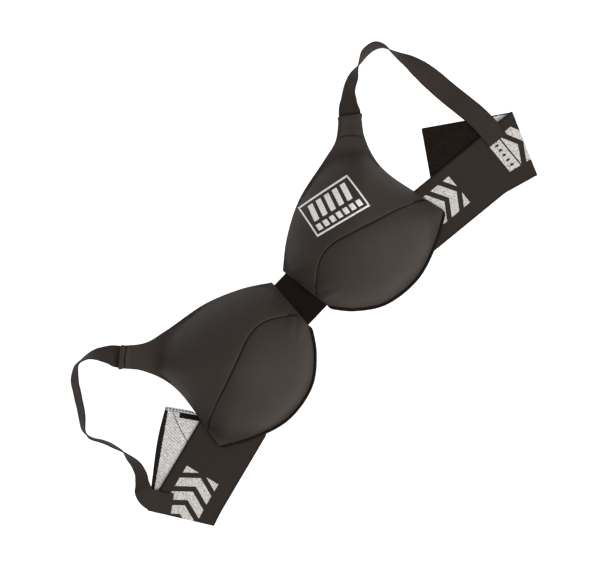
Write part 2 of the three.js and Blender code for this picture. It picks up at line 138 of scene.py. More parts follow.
def right_of(way):
    """A way in plan, or many, turned a quarter to the right."""
    way = np.asarray(way)
    return np.stack([way[..., 1], -way[..., 0]], -1)


def lengths_along(line):
    """How far along the polyline each of its points is."""
    return np.r_[0, np.cumsum(np.linalg.norm(np.diff(line, axis=0), axis=1))]


def spline(points, steps):
    """A uniform Catmull-Rom curve through the points, steps + 1 samples long."""
    points = np.array(points, float)
    last = len(points) - 1
    where = np.linspace(0, last, steps + 1)
    index = np.minimum(where.astype(int), last - 1)
    t = (where - index)[:, None]
    p0, p1 = points[np.maximum(index - 1, 0)], points[index]
    p2, p3 = points[index + 1], points[np.minimum(index + 2, last)]
    v0, v1 = (p2 - p0) / 2, (p3 - p1) / 2
    return (2 * p1 - 2 * p2 + v0 + v1) * t**3 + (-3 * p1 + 3 * p2 - 2 * v0 - v1) * t**2 + v0 * t + p1


def centripetal(points, steps):
    """A centripetal Catmull-Rom curve, steps + 1 samples long and even in its parameter."""
    points = np.array(points, float)
    padded = np.vstack([2 * points[0] - points[1], points, 2 * points[-1] - points[-2]])
    samples = []
    for where in np.linspace(0, len(points) - 1, steps + 1):
        i = min(int(where), len(points) - 2)
        t = where - i
        p0, p1, p2, p3 = padded[i:i + 4]
        gap = [np.linalg.norm(b - a) ** 0.5 for a, b in ((p0, p1), (p1, p2), (p2, p3))]
        middle = gap[1] if gap[1] > 1e-4 else 1.0
        before = gap[0] if gap[0] > 1e-4 else middle
        after = gap[2] if gap[2] > 1e-4 else middle
        v1 = ((p1 - p0) / before - (p2 - p0) / (before + middle) + (p2 - p1) / middle) * middle
        v2 = ((p2 - p1) / middle - (p3 - p1) / (middle + after) + (p3 - p2) / after) * middle
        a = 2 * p1 - 2 * p2 + v1 + v2
        b = -3 * p1 + 3 * p2 - 2 * v1 - v2
        samples.append(a * t**3 + b * t**2 + v1 * t + p1)
    return np.array(samples)


def even_count(line, count):
    """The polyline sampled again at so many evenly spaced points."""
    line = np.array(line, float)
    lengths = lengths_along(line)
    where = np.linspace(0, lengths[-1], count)
    return np.stack([np.interp(where, lengths, part) for part in line.T], 1)


def evenly(line, spacing, closed=False):
    """The polyline sampled again at about even spacing, keeping its ends."""
    line = np.array(line, float)
    if closed:
        line = np.vstack([line, line[:1]])
    out = even_count(line, max(2, int(round(lengths_along(line)[-1] / spacing)) + 1))
    return out[:-1] if closed else out


def distance_to(line, points):
    """Each point's distance to a polyline, in plan."""
    line, points = np.array(line, float), np.array(points, float)
    best = np.full(len(points), 1e9)
    for a, b in zip(line[:-1], line[1:]):
        way = b - a
        t = np.clip(((points - a) @ way) / max(way @ way, 1e-12), 0, 1)
        best = np.minimum(best, np.linalg.norm(points - (a + t[:, None] * way), axis=1))
    return best


def smoothstep(low, high, x):
    t = np.clip((x - low) / (high - low), 0, 1)
    return t * t * (3 - 2 * t)


def inside(polygon, points):
    """Whether each point lies inside the polygon."""
    polygon, points = np.array(polygon, float), np.array(points, float)
    x, y = points[:, 0], points[:, 1]
    found = np.zeros(len(points), bool)
    for (ax, ay), (bx, by) in zip(polygon, np.roll(polygon, -1, axis=0)):
        if ay == by:
            continue
        crosses = (ay > y) != (by > y)
        found ^= crosses & (x < (bx - ax) * (y - ay) / (by - ay) + ax)
    return found


# ---- the cup in plan, and its dome ----
def inner_edge(y):
    """How far out the cup's edge beside the centre panel is."""
    share = 0.5 - y / GORE["height"]
    return (GORE["top"] + share * (GORE["bottom"] - GORE["top"])) / 2 + 2 * CLEARANCE


INNER_TOP, INNER_BOTTOM = (np.array([inner_edge(y), y]) for y in (31.0, -28.0))
EDGES = {
    "neckline": spline([INNER_TOP, *NECKLINE, TAB_NECK], 90),
    "tab": np.array([TAB_NECK, TAB_ARM]),
    "armhole": spline([TAB_ARM, *ARMHOLE, SIDE_CORNER], 90),
    "bottom": spline([SIDE_CORNER, *BOTTOM, INNER_BOTTOM], 120),
    "inner": np.array([INNER_BOTTOM, INNER_TOP]),
}
OUTLINE = np.vstack([line[:-1] for line in EDGES.values()])
CLOSED_OUTLINE = np.vstack([OUTLINE, OUTLINE[:1]])
SEAM_LINE = spline(SEAM, 120)

_rays = OUTLINE - APEX
_angles = np.arctan2(_rays[:, 1], _rays[:, 0])
_order = np.argsort(_angles)
_dense_angles = _angles[_order]
_dense_reach = np.linalg.norm(_rays, axis=1)[_order]


def reach_at(angles):
    """How far the cup's outline is from the apex in each direction."""
    return np.interp(angles, _dense_angles, _dense_reach, period=2 * math.pi)


def dome(points, depth, base):
    """The height of a layer of the cup over points in plan, at a depth below the cup's outer face."""
    rays = np.array(points, float) - APEX
    distance = np.maximum(np.linalg.norm(rays, axis=1), 1e-6)
    reach = reach_at(np.arctan2(rays[:, 1], rays[:, 0]))
    n = DOME_SQUARENESS
    across = np.abs(rays[:, 0] / distance / DOME_HALF[0]) ** n
    along = np.abs(rays[:, 1] / distance / DOME_HALF[1]) ** n
    oval = (across + along) ** (-1 / n)
    radius = (reach**-12 + oval**-12) ** (-1 / 12)
    share = np.minimum(1, distance / (radius - depth))
    return base + (APEX_HEIGHT - RIM - depth) * (1 - share**2) ** ROUNDNESS


HINGE_WAY = heading(HINGE_SLOPE)
HINGE_OUT = right_of(HINGE_WAY)
HINGE_FOOT = HINGE_TOP - HINGE_WAY * BAND["width"]
CUP_TIP = (BAND_TOP + 2 * CLEARANCE) / (HINGE_FOOT[0] - INNER_BOTTOM[0])


def tip_height(x, y):
    return np.maximum(0, x - inner_edge(y)) * CUP_TIP


def laid(points, side):
    """Points of a cup as it lies: tipped about its inner edge, and slid a little towards the shoulders."""
    x, y, z = np.moveaxis(np.array(points, float), -1, 0)
    share = np.clip((x - INNER_TOP[0]) / (SIDE_CORNER[0] - INNER_TOP[0]), 0, 1)
    return np.stack([x, y + SLIDE[side] * np.sin(math.pi * share), z + tip_height(x, y)], -1)


# ---- meshes ----
def make_object(name, points, faces, side, materials, face_materials=None, uv=None):
    """A mesh object from points in millimetres, mirrored for the left side."""
    points = np.array(points, float) * MM
    if side == "left":
        points[:, 0] *= -1
        faces = [tuple(reversed(face)) for face in faces]
    mesh = bpy.data.meshes.new(name)
    mesh.from_pydata([tuple(p) for p in points], [], [tuple(int(i) for i in face) for face in faces])
    for material in materials:
        mesh.materials.append(material)
    if face_materials is not None:
        mesh.polygons.foreach_set("material_index", np.array(face_materials, np.int32))
    mesh.polygons.foreach_set("use_smooth", np.ones(len(mesh.polygons), bool))
    if uv is not None:
        layer = mesh.uv_layers.new(name="Lay")
        corners = np.zeros(len(mesh.loops), np.int32)
        mesh.loops.foreach_get("vertex_index", corners)
        layer.data.foreach_set("uv", (np.array(uv, float)[corners] * MM).astype(np.float32).ravel())
    mesh.update()
    obj = bpy.data.objects.new(name, mesh)
    bpy.context.collection.objects.link(obj)
    return obj


def grid_normals(grid):
    normals = np.cross(np.gradient(grid, axis=0), np.gradient(grid, axis=1))
    return normals / np.maximum(np.linalg.norm(normals, axis=2, keepdims=True), 1e-12)


def around(loop):
    """Each member of a closed loop, between its two neighbours."""
    return zip(loop[-1:] + loop[:-1], loop, loop[1:] + loop[:1])


def ring_faces(first, second):
    """Quads between two closed rings of as many vertices."""
    return list(zip(first, second, second[1:] + second[:1], first[1:] + first[:1]))


def tube_faces(start, rings, sides):
    """The faces of a closed tube whose rings of vertices follow one another."""
    every = [list(range(start + k * sides, start + (k + 1) * sides)) for k in range(rings)]
    quads = [quad for a, b in zip(every[:-1], every[1:]) for quad in ring_faces(a, b)]
    return quads + [tuple(every[0]), tuple(every[-1])]


RIM_SWELL = 0.55


def thick_sheet(grid, thickness, normals):
    """A closed sheet round a grid: points, faces, each face's part and each point's place in the grid.

    Part 0 is the face on the normals' side, 1 the other face, and 2 the rounded rim.
    """
    rows, columns = grid.shape[:2]
    half, count = thickness / 2, rows * columns
    flat, offsets = grid.reshape(-1, 3), normals.reshape(-1, 3) * half
    at = lambda i, j: i * columns + j
    quads = [
        (at(i, j), at(i + 1, j), at(i + 1, j + 1), at(i, j + 1))
        for i in range(rows - 1) for j in range(columns - 1)
    ]
    loop = (
        [(i, 0) for i in range(rows - 1)] + [(rows - 1, j) for j in range(columns - 1)]
        + [(i, columns - 1) for i in range(rows - 1, 0, -1)] + [(0, j) for j in range(columns - 1, 0, -1)]
    )
    rim = []
    for i, j in loop:
        out = grid[i, j] - grid[min(max(i, 1), rows - 2), min(max(j, 1), columns - 2)]
        out = out - normals[i, j] * (out @ normals[i, j])
        rim.append(grid[i, j] + unit(out) * half * RIM_SWELL)
    edge = [at(i, j) for i, j in loop]
    middle = list(range(2 * count, 2 * count + len(loop)))
    rim_faces = ring_faces(edge, middle) + ring_faces(middle, [count + k for k in edge])
    faces = quads + [tuple(count + k for k in reversed(quad)) for quad in quads] + rim_faces
    parts = [0] * len(quads) + [1] * len(quads) + [2] * len(rim_faces)
    source = np.r_[np.arange(count), np.arange(count), edge]
    return np.vstack([flat + offsets, flat - offsets, rim]), faces, parts, source


def outward(obj):
    """Turns every face outwards and returns the object."""
    mesh = bmesh.new()
    mesh.from_mesh(obj.data)
    bmesh.ops.recalc_face_normals(mesh, faces=mesh.faces)
    mesh.to_mesh(obj.data)
    mesh.free()
    return obj


def sheet_piece(name, grid, thickness, side, materials, uv=None, normals=None):
    """A sheet of cloth round a grid, facing up unless its normals are given. Its back has the last material."""
    if normals is None:
        normals = grid_normals(grid)
        if normals[..., 2].mean() < 0:
            grid, uv = grid[:, ::-1], uv if uv is None else uv[:, ::-1]
            normals = grid_normals(grid)
    points, faces, parts, source = thick_sheet(grid, thickness, normals)
    uv = None if uv is None else uv.reshape(-1, 2)[source]
    of_part = (0, len(materials) - 1, 0)
    return outward(make_object(name, points, faces, side, materials, [of_part[p] for p in parts], uv))


def thickened(obj, thickness, offset=-1):
    """The object as cloth of a thickness, in millimetres, that lies under its surface."""
    solid = obj.modifiers.new("Thickness", "SOLIDIFY")
    solid.thickness, solid.offset = thickness * MM, offset
    evaluated = obj.evaluated_get(bpy.context.evaluated_depsgraph_get())
    mesh = bpy.data.meshes.new_from_object(evaluated)
    obj.modifiers.clear()
    obj.data = mesh
    return obj


def drift(points, across, along, seed):
    """Slow noise over points in plan."""
    return np.array([noise.noise(Vector((x * across, y * along, seed))) for x, y in points])


def plan_mesh(outline, spacing):
    """Evenly spaced triangles that fill an outline: points and triangles."""
    edge = evenly(outline, spacing, closed=True)
    low, high = edge.min(0), edge.max(0)
    rows = np.arange(low[1], high[1], spacing * math.sqrt(3) / 2)
    points = np.array([
        (x, y) for k, y in enumerate(rows)
        for x in np.arange(low[0] + (k % 2) * spacing / 2, high[0], spacing)
    ])
    points = points[inside(edge, points)]
    points = points[distance_to(np.vstack([edge, edge[:1]]), points) > 0.55 * spacing]
    every = [Vector(p) for p in np.vstack([edge, points])]
    loop = [(i, (i + 1) % len(edge)) for i in range(len(edge))]
    made, _, faces, _, _, _ = delaunay_2d_cdt(every, loop, [], 1, 1e-6)
    return np.array([tuple(p) for p in made]), [tuple(face) for face in faces]


def boundary_loop(faces):
    """The vertices round the edge of a flat mesh, in order, with the mesh on the left."""
    edges = {(a, b) for face in faces for a, b in zip(face, face[1:] + face[:1])}
    onward = {a: b for a, b in edges if (b, a) not in edges}
    start = min(onward)
    loop, here = [start], onward[start]
    while here != start:
        loop.append(here)
        here = onward[here]
    return loop


def smoothed(values, faces, free, rounds):
    """Values at the vertices, each moved half way to the mean of its neighbours, over and over."""
    edges = np.array(sorted({tuple(sorted(e)) for f in faces for e in zip(f, f[1:] + f[:1])}))
    degree = np.bincount(edges.ravel(), minlength=len(values))
    for _ in range(rounds):
        total = np.bincount(edges[:, 0], values[edges[:, 1]], len(values))
        total += np.bincount(edges[:, 1], values[edges[:, 0]], len(values))
        values = np.where(free, values + (total / degree - values) / 2, values)
    return values


# ---- materials ----
class Finish:
    """Builds one material from nodes. A socket given as a value is linked, and anything else is set."""

    def __init__(self, name, base, roughness, specular, sheen=0.0, coat=0.0):
        self.base = base
        self.material = bpy.data.materials.new(name)
        self.material.use_nodes = True
        self.tree = self.material.node_tree
        self.surface = self.tree.nodes["Principled BSDF"]
        for key, value in (
            ("Base Color", (*base, 1)), ("Roughness", roughness), ("Specular IOR Level", specular),
            ("Sheen Weight", sheen), ("Coat Weight", coat),
        ):
            self.surface.inputs[key].default_value = value

    def put(self, socket, value):
        if isinstance(value, bpy.types.NodeSocket):
            self.tree.links.new(value, socket)
        else:
            socket.default_value = value

    def node(self, kind, inputs=(), **settings):
        node = self.tree.nodes.new(kind)
        for key, value in settings.items():
            setattr(node, key, value)
        for key, value in dict(inputs).items():
            self.put(node.inputs[key], value)
        return node

    def math(self, operation, *values):
        return self.node("ShaderNodeMath", enumerate(values), operation=operation).outputs[0]

    def times(self, a, b):
        return self.math("MULTIPLY", a, b)

    def plus(self, a, b):
        return self.math("ADD", a, b)

    def minus(self, a, b):
        return self.math("SUBTRACT", a, b)

    def above(self, a, b):
        return self.math("GREATER_THAN", a, b)

    def below(self, a, b):
        return self.math("LESS_THAN", a, b)

    def off(self, coordinate, middle):
        """How far a coordinate is from a middle value, either way."""
        return self.math("ABSOLUTE", self.minus(coordinate, middle))

    def place(self):
        return self.node("ShaderNodeTexCoord").outputs["Object"]

    def lay(self):
        """The piece's own flat coordinates in metres, as two sockets."""
        uv = self.node("ShaderNodeUVMap", uv_map="Lay").outputs[0]
        split = self.node("ShaderNodeSeparateXYZ", {0: uv})
        return split.outputs[0], split.outputs[1]

    def noise(self, scale, detail=2.0, roughness=0.5):
        inputs = {"Scale": scale, "Detail": detail, "Roughness": roughness, "Vector": self.place()}
        return self.node("ShaderNodeTexNoise", inputs).outputs["Fac"]

    def cells(self, scale):
        return self.node("ShaderNodeTexVoronoi", {"Scale": scale, "Vector": self.place()}).outputs["Distance"]

    def ramp(self, value, low, high, to_low=0.0, to_high=1.0):
        inputs = {0: value, 1: low, 2: high, 3: to_low, 4: to_high}
        return self.node("ShaderNodeMapRange", inputs, clamp=True).outputs[0]

    def mix(self, factor, a, b):
        node = self.node("ShaderNodeMix", data_type="RGBA")
        pick = lambda name: next(s for s in node.inputs if s.name == name and s.type == "RGBA")
        self.put(node.inputs[0], factor)
        self.put(pick("A"), a if isinstance(a, bpy.types.NodeSocket) else (*a, 1))
        self.put(pick("B"), b if isinstance(b, bpy.types.NodeSocket) else (*b, 1))
        return next(s for s in node.outputs if s.type == "RGBA")

    def tone(self, factor):
        """The base colour, lighter or darker."""
        return tuple(min(1.0, c * factor) for c in self.base)

    def shades(self, value, low, high, dark, light):
        """From one tone of the base colour to another, as a value goes from low to high."""
        return self.mix(self.ramp(value, low, high), self.tone(dark), self.tone(light))

    def rib(self, coordinate, pitch):
        """0 to 1 and back over each pitch along a coordinate."""
        turned = self.times(coordinate, math.pi / pitch)
        return self.math("ABSOLUTE", self.math("SINE", turned))

    def color(self, value):
        self.put(self.surface.inputs["Base Color"], value)

    def rough(self, value):
        self.put(self.surface.inputs["Roughness"], value)

    def bump(self, height, distance, strength=1.0):
        inputs = {"Height": height, "Distance": distance, "Strength": strength}
        link = self.surface.inputs["Normal"].links
        if link:
            inputs["Normal"] = link[0].from_socket
        self.put(self.surface.inputs["Normal"], self.node("ShaderNodeBump", inputs).outputs[0])


def srgb(r, g, b):
    """A colour given as the 0 to 255 values of a screen, in linear light."""
    return tuple(((c / 255 + 0.055) / 1.055) ** 2.4 if c > 10 else c / 255 / 12.92 for c in (r, g, b))


CREASE = 50.0


def cover_cloth(name="cover_cloth", painted_crease_shade=False):
    """Close-knit matt cloth: fine courses, slow changes of tone, a soft nap, and, for the tab, painted shade as a
    dark line along its fold.
    """
    finish = Finish(name, srgb(56, 49, 45), 0.6, 0.14)
    fine = finish.noise(900.0)
    tone = finish.shades(finish.noise(9.0, 3.0), 0.3, 0.7, 0.90, 1.10)
    cloth = finish.mix(0.35, tone, finish.shades(fine, 0.35, 0.65, 0.82, 1.18))
    if painted_crease_shade:
        # Painted shade of the fold: the colour darkens towards a quarter of the base tone within 1.6 mm of the
        # fold line.
        away = finish.off(finish.lay()[0], CREASE * MM)
        cloth = finish.mix(finish.ramp(away, 0.0002, 0.0016, 0.6, 0.0), cloth, finish.tone(0.25))
    finish.color(cloth)
    split = finish.node("ShaderNodeSeparateXYZ", {0: finish.place()})
    courses = finish.rib(finish.plus(split.outputs[0], finish.times(split.outputs[2], 0.7)), 0.00075)
    wales = finish.rib(split.outputs[1], 0.0009)
    finish.bump(finish.times(courses, wales), 0.00012, 0.45)
    finish.bump(fine, 0.0001, 0.35)
    finish.rough(finish.ramp(finish.noise(40.0, 3.0), 0.3, 0.7, 0.56, 0.68))
    return finish.material


def lining_cloth():
    finish = Finish("lining_cloth", srgb(58, 52, 49), 0.92, 0.08, sheen=0.03)
    loops = finish.cells(700.0)
    dark = finish.shades(finish.noise(14.0, 3.0), 0.3, 0.7, 0.75, 1.0)
    finish.color(finish.mix(finish.ramp(loops, 0.1, 0.7), finish.tone(1.2), dark))
    finish.bump(loops, 0.0003, 0.6)
    return finish.material


def ribbed_elastic(name, base, pitch, groove=0.00035):
    """Elastic with ribs across its stretch, knitted over fine rubber cords."""
    finish = Finish(name, base, 0.8, 0.08)
    along, across = finish.lay()
    fuzz = finish.noise(1500.0)
    weave = finish.plus(finish.rib(along, pitch), finish.times(finish.rib(across, pitch * 0.6), 0.45))
    shade = finish.plus(finish.times(weave, 0.5), finish.times(fuzz, 0.4))
    finish.color(finish.shades(shade, 0.3, 1.1, 0.68, 1.3))
    finish.bump(weave, groove, 0.7)
    finish.bump(fuzz, 0.0001, 0.4)
    return finish.material


def chevrons(finish, along, across):
    """Rows of plain chevrons and a small checked block, woven in white over the middle of the band."""
    middle, reach, repeat, lead = 0.0315, 0.0195, 0.147, 0.047
    offset = finish.off(across, middle)
    place = finish.math("WRAP", finish.plus(along, lead), repeat, 0.0)
    slanted = finish.plus(place, finish.times(offset, 0.55))
    bars = finish.below(finish.math("WRAP", slanted, 0.0165, 0.0), 0.0102)
    in_block = finish.times(finish.above(place, 0.1325), finish.below(place, 0.1455))
    checks = finish.plus(finish.rib(across, 0.0065), finish.rib(finish.minus(place, 0.139), 0.013))
    block = finish.times(in_block, finish.above(checks, 0.72))
    shapes = finish.plus(finish.times(finish.below(place, 0.080), bars), block)
    return finish.times(shapes, finish.below(offset, reach))


def band_outer():
    """The band's dark face: a fine diagonal weave with a white motif and firm edges."""
    finish = Finish("band_outer", srgb(50, 44, 40), 0.85, 0.08)
    along, across = finish.lay()
    pitch = 0.0011
    courses = finish.rib(across, pitch * 0.8)
    fuzz = finish.noise(1300.0)
    diagonal = finish.rib(finish.plus(along, across), pitch)
    weave = finish.plus(finish.times(diagonal, 0.6), finish.times(courses, 0.4))
    cloth = finish.shades(weave, 0.1, 0.9, 0.72, 1.22)
    cloth = finish.mix(finish.ramp(finish.noise(22.0, 3.0), 0.3, 0.7, 0.0, 0.5), cloth, finish.tone(0.9))
    edge = finish.math("MAXIMUM", finish.below(across, 0.0022), finish.above(across, 0.0658))
    cloth = finish.mix(finish.times(edge, 0.7), cloth, finish.tone(0.6))
    speckle = finish.ramp(finish.noise(1500.0, 1.0), 0.36, 0.46)
    grid = finish.ramp(finish.times(finish.rib(along, 0.0009), courses), 0.02, 0.2, 0.35, 1.0)
    white = finish.mix(finish.times(speckle, grid), srgb(96, 90, 86), srgb(226, 223, 219))
    motif = chevrons(finish, along, across)
    finish.color(finish.mix(motif, cloth, white))
    finish.bump(weave, 0.0002, 0.6)
    finish.bump(finish.plus(fuzz, finish.times(motif, 0.8)), 0.00015, 0.5)
    return finish.material


def band_inner(name, selvedge):
    """The band's pale reverse: the floats of the white yarn in diagonal rows, between dark firm edges."""
    finish = Finish(name, srgb(214, 210, 206), 0.9, 0.1)
    along, across = finish.lay()
    skew = finish.minus(finish.times(across, 0.555), finish.times(along, 0.832))
    twill = finish.rib(finish.plus(skew, finish.times(finish.noise(420.0), 0.0030)), 0.0026)
    cross = finish.rib(finish.plus(finish.times(across, 0.832), finish.times(along, 0.555)), 0.0016)
    grain = finish.ramp(finish.noise(1400.0), 0.3, 0.6, 0.6, 1.0)
    streaks = finish.ramp(finish.noise(500.0, 3.0), 0.35, 0.65, 0.62, 1.0)
    floats = finish.times(finish.times(finish.ramp(twill, 0.05, 0.6, 0.3, 1.0), grain), streaks)
    cloth = finish.mix(floats, srgb(112, 107, 104), srgb(244, 242, 240))
    wander = finish.times(finish.noise(700.0), 0.0022)
    edge = finish.above(finish.plus(finish.off(across, 0.034), wander), 0.0351 - selvedge)
    finish.color(finish.mix(edge, cloth, srgb(34, 28, 25)))
    finish.bump(finish.plus(twill, cross), 0.0002, 0.6)
    return finish.material


def hem_tape():
    """The band's turned end: pale floats between two dark rows of stitches."""
    finish = Finish("hem_tape", srgb(150, 146, 143), 0.9, 0.1)
    along, across = finish.lay()
    dashes = finish.above(finish.rib(across, 0.0034), 0.45)
    rows = finish.below(finish.rib(finish.plus(along, 0.0002), 0.0024), 0.7)
    speckle = finish.ramp(finish.noise(900.0), 0.4, 0.6, 0.55, 1.0)
    cloth = finish.mix(speckle, srgb(84, 79, 76), srgb(222, 219, 216))
    finish.color(finish.mix(finish.times(rows, dashes), cloth, srgb(30, 25, 23)))
    finish.bump(finish.plus(rows, speckle), 0.0002, 0.5)
    return finish.material


def webbing():
    """Flat woven strap: ribs across it in a herringbone, two firmer lines along its edges."""
    finish = Finish("webbing", srgb(52, 45, 41), 0.78, 0.1)
    along, across = finish.lay()
    pitch = 0.0013
    slanted = finish.plus(along, finish.times(finish.rib(across, 0.0038), 0.0022))
    ribs, herringbone = finish.rib(along, pitch), finish.rib(slanted, pitch)
    weave = finish.plus(finish.times(ribs, 0.3), finish.times(herringbone, 0.7))
    cloth = finish.shades(weave, 0.1, 0.9, 0.72, 1.25)
    cloth = finish.mix(finish.ramp(finish.noise(30.0, 3.0), 0.35, 0.65, 0.0, 0.4), cloth, finish.tone(1.1))
    edge = finish.ramp(finish.off(across, STRAP["width"] / 2 * MM), 0.0098, 0.0104)
    finish.color(finish.mix(finish.times(edge, 0.45), cloth, finish.tone(0.7)))
    finish.bump(weave, 0.0002, 0.6)
    finish.bump(finish.noise(1300.0), 0.0001, 0.4)
    finish.bump(edge, 0.0002, 0.6)
    return finish.material


def pile(name, base, scale, height):
    """The nap of a hook or loop tape."""
    finish = Finish(name, base, 0.95, 0.05, sheen=0.02)
    shade = finish.plus(finish.cells(scale), finish.times(finish.noise(scale * 1.7, 3.0), 0.6))
    rows = finish.ramp(finish.noise(70.0, 3.0), 0.35, 0.65, 0.0, 0.5)
    finish.color(finish.mix(rows, finish.shades(shade, 0.3, 1.1, 0.5, 1.9), finish.tone(0.7)))
    finish.bump(shade, height, 0.9)
    return finish.material


def thread():
    finish = Finish("thread", srgb(44, 38, 35), 0.6, 0.2)
    twist = finish.noise(2600.0, 1.0)
    finish.color(finish.mix(twist, finish.tone(0.7), finish.tone(1.4)))
    finish.bump(twist, 0.0001, 0.6)
    return finish.material


def print_ink():
    """White transfer print with a faint crackle and thin spots where the knit shows through."""
    white, thin = srgb(238, 237, 235), srgb(176, 172, 168)
    finish = Finish("print_ink", white, 0.5, 0.4)
    wear = finish.noise(420.0, 4.0, roughness=0.7)
    finish.color(finish.mix(finish.ramp(wear, 0.56, 0.68), white, thin))
    finish.bump(finish.noise(1200.0), 0.00008, 0.5)
    return finish.material


def foam():
    finish = Finish("foam", srgb(78, 75, 73), 0.95, 0.2)
    pores = finish.cells(900.0)
    finish.color(finish.shades(pores, 0.1, 0.5, 0.7, 1.0))
    finish.bump(pores, 0.0004, 0.8)
    return finish.material


def shell_plastic():
    finish = Finish("hard_shell", srgb(232, 232, 226), 0.32, 0.5, coat=0.15)
    finish.color(finish.shades(finish.noise(30.0, 3.0), 0.3, 0.7, 0.93, 1.0))
    finish.rough(finish.ramp(finish.noise(160.0, 3.0), 0.3, 0.7, 0.26, 0.4))
    finish.bump(finish.noise(500.0), 0.0001, 0.25)
    return finish.material


MATERIALS = {
    "cover": cover_cloth(),
    # The tab's cloth, with the fold's shade painted on as a dark line.
    "tab": cover_cloth("tab_cloth", painted_crease_shade=True),
    # A near-black strip under each seam's gap: painted shade for the seam line.
    "tape": pile("seam_shade_strip", srgb(20, 15, 13), 1200.0, 0.0003),
    "lining": lining_cloth(),
    "gore": ribbed_elastic("gore_elastic", srgb(24, 17, 15), 0.0016),
    "piping": ribbed_elastic("piping_elastic", srgb(30, 24, 22), 0.0012, 0.0002),
    "outer": band_outer(),
    "inner_right": band_inner("band_inner_right", 0.0010),
    "inner_left": band_inner("band_inner_left", 0.0030),
    "hem": hem_tape(),
    "webbing": webbing(),
    "hook": pile("hook_tape", srgb(27, 21, 18), 1000.0, 0.0007),
    "loop": pile("loop_tape", srgb(34, 29, 27), 1400.0, 0.0005),
    "thread": thread(),
    "ink": print_ink(),
    "foam": foam(),
    "shell": shell_plastic(),
}


# ---- cups ----
SEAM_GAP = 0.4


def outline_side(direction):
    """The outline of the cover's upper (1) or lower (-1) panel, and the edge of it that is on the seam."""
    above = seam_side(CLOSED_OUTLINE)
    crossing = []
    for i in np.flatnonzero(above[:-1] * above[1:] < 0):
        share = above[i] / (above[i] - above[i + 1])
        crossing.append((i, CLOSED_OUTLINE[i] + share * (CLOSED_OUTLINE[i + 1] - CLOSED_OUTLINE[i])))
    (i, first), (j, second) = crossing
    middle = [first, *OUTLINE[i + 1:j + 1], second]
    rest = [second, *OUTLINE[j + 1:], *OUTLINE[:i + 1], first]
    line = middle if np.sign(above[(i + j) // 2]) == direction else rest
    seam = SEAM_LINE[inside(OUTLINE, SEAM_LINE)]
    if np.linalg.norm(seam[0] - line[-1]) > np.linalg.norm(seam[-1] - line[-1]):
        seam = seam[::-1]
    seam = seam + np.array([0, direction * SEAM_GAP])
    return np.vstack([line, seam]), seam


def seam_side(points):
    """Above zero on the shoulder side of the seam."""
    order = np.argsort(SEAM_LINE[:, 0])
    return points[:, 1] - np.interp(points[:, 0], SEAM_LINE[order, 0], SEAM_LINE[order, 1])


def hollow_of_seam(points):
    """How far the cover is drawn down beside the seam."""
    away = distance_to(SEAM_LINE, points)
    return 1.1 * np.exp(-((away / 1.6) ** 2)) + 0.55 * np.exp(-((away / 5.0) ** 2))


TAB_WAY = unit(TAB_ARM - TAB_NECK)
TAB_IN = right_of(TAB_WAY)
TAB_WIDTH = float(np.linalg.norm(TAB_ARM - TAB_NECK))
WRAP_HEM = {"right": (21.5, -8.9, 12.4), "left": (5.0, -1.0, 1.5)}
WRAP_RUN, WRAP_OVER = 6.0, 0.4


def tab_wrap(side):
    """The cloth doubled over the strap's end: a loop across the tab, closed by a bowed crease."""
    rows, columns = 64, 33
    start, slope, bow = WRAP_HEM[side]
    share = np.linspace(0, 1, columns)
    side_drop = 1.9 * np.abs(2 * share - 1) ** 10
    hem = start + slope * share + bow * share**2
    grid, uv = [], []
    for t in np.linspace(0, 1, rows):
        depth = -WRAP_OVER + (hem + WRAP_RUN + WRAP_OVER) * t
        left, right = tab_sides(float(depth.mean()))
        flare = 0.5 + 0.9 * math.exp(-((depth.mean() / 3.0) ** 2))
        across = left - flare + (right - left + 2 * flare) * share
        plan = TAB_NECK + TAB_IN * depth[:, None] + TAB_WAY * across[:, None]
        past = depth - hem
        ripple = 0.22 * np.sin(across * 0.55 + 0.3) * smoothstep(0, 4, depth) + 0.18 * np.sin(depth * 0.5)
        level = (1.15 + ripple) * (1 - smoothstep(0.0, WRAP_RUN, past)) - 0.35 * smoothstep(-2, 2, past)
        crease = 0.35 * np.exp(-(((past - 1.9) / 1.2) ** 2)) - 1.9 * np.exp(-((past / 0.75) ** 2))
        grid.append(np.c_[plan, dome(plan, 0, RIM) + cover_relief(plan, side) + level + crease - side_drop])
        # The hem sits at CREASE in the lay coordinates, where the tab cloth paints the fold's shade as a dark
        # line.
        uv.append(np.c_[past + CREASE, across])
    name = f"cup_cover_upper_{side}_tab_loop"
    return sheet_piece(name, laid(grid, side), COVER_LAYER, side, [MATERIALS["tab"]], np.array(uv))


def tab_sides(depth):
    """How far the tab reaches on each side of its neck corner, at a depth below its end."""
    across = np.linspace(-15.0, TAB_WIDTH + 20.0, 141)
    points = TAB_NECK + TAB_IN * max(depth, 0.3) + TAB_WAY * across[:, None]
    found = across[inside(OUTLINE, points)]
    return found.min(), found.max()


def hem_ridge(points):
    """The cover's edge swells over the piping, with a shallow line beside it."""
    away = distance_to(EDGES["bottom"], points)
    return 0.35 * np.exp(-(((away - 2.3) / 1.1) ** 2)) - 0.4 * np.exp(-(((away - 4.8) / 0.9) ** 2))


def slack(points, side):
    """Gathers by the centre panel, and the slow unevenness of cloth over foam."""
    x, y = points.T
    inner = distance_to(EDGES["inner"], points)
    fade = np.exp(-((inner / 15.0) ** 2)) * smoothstep(0.0, 3.0, inner)
    phase, seed = {"right": (0.0, 1.0), "left": (1.3, 7.0)}[side]
    gathers = 1.15 * fade * np.sin(y * 0.46 + 0.22 * x + phase)
    return gathers + 0.9 * drift(points, 0.028, 0.028, seed) + 0.28 * drift(points, 0.075, 0.05, seed + 4.0)


CLOTH = {
    "quality": 6, "mass": 0.25, "vertex_group_mass": "pinned",
    "tension_stiffness": 12, "compression_stiffness": 12, "shear_stiffness": 6, "bending_stiffness": 0.6,
    "use_pressure": True, "uniform_pressure_force": 1.6,
}
SETTLING_FRAMES = 20
MOST_SWELL = 2.2


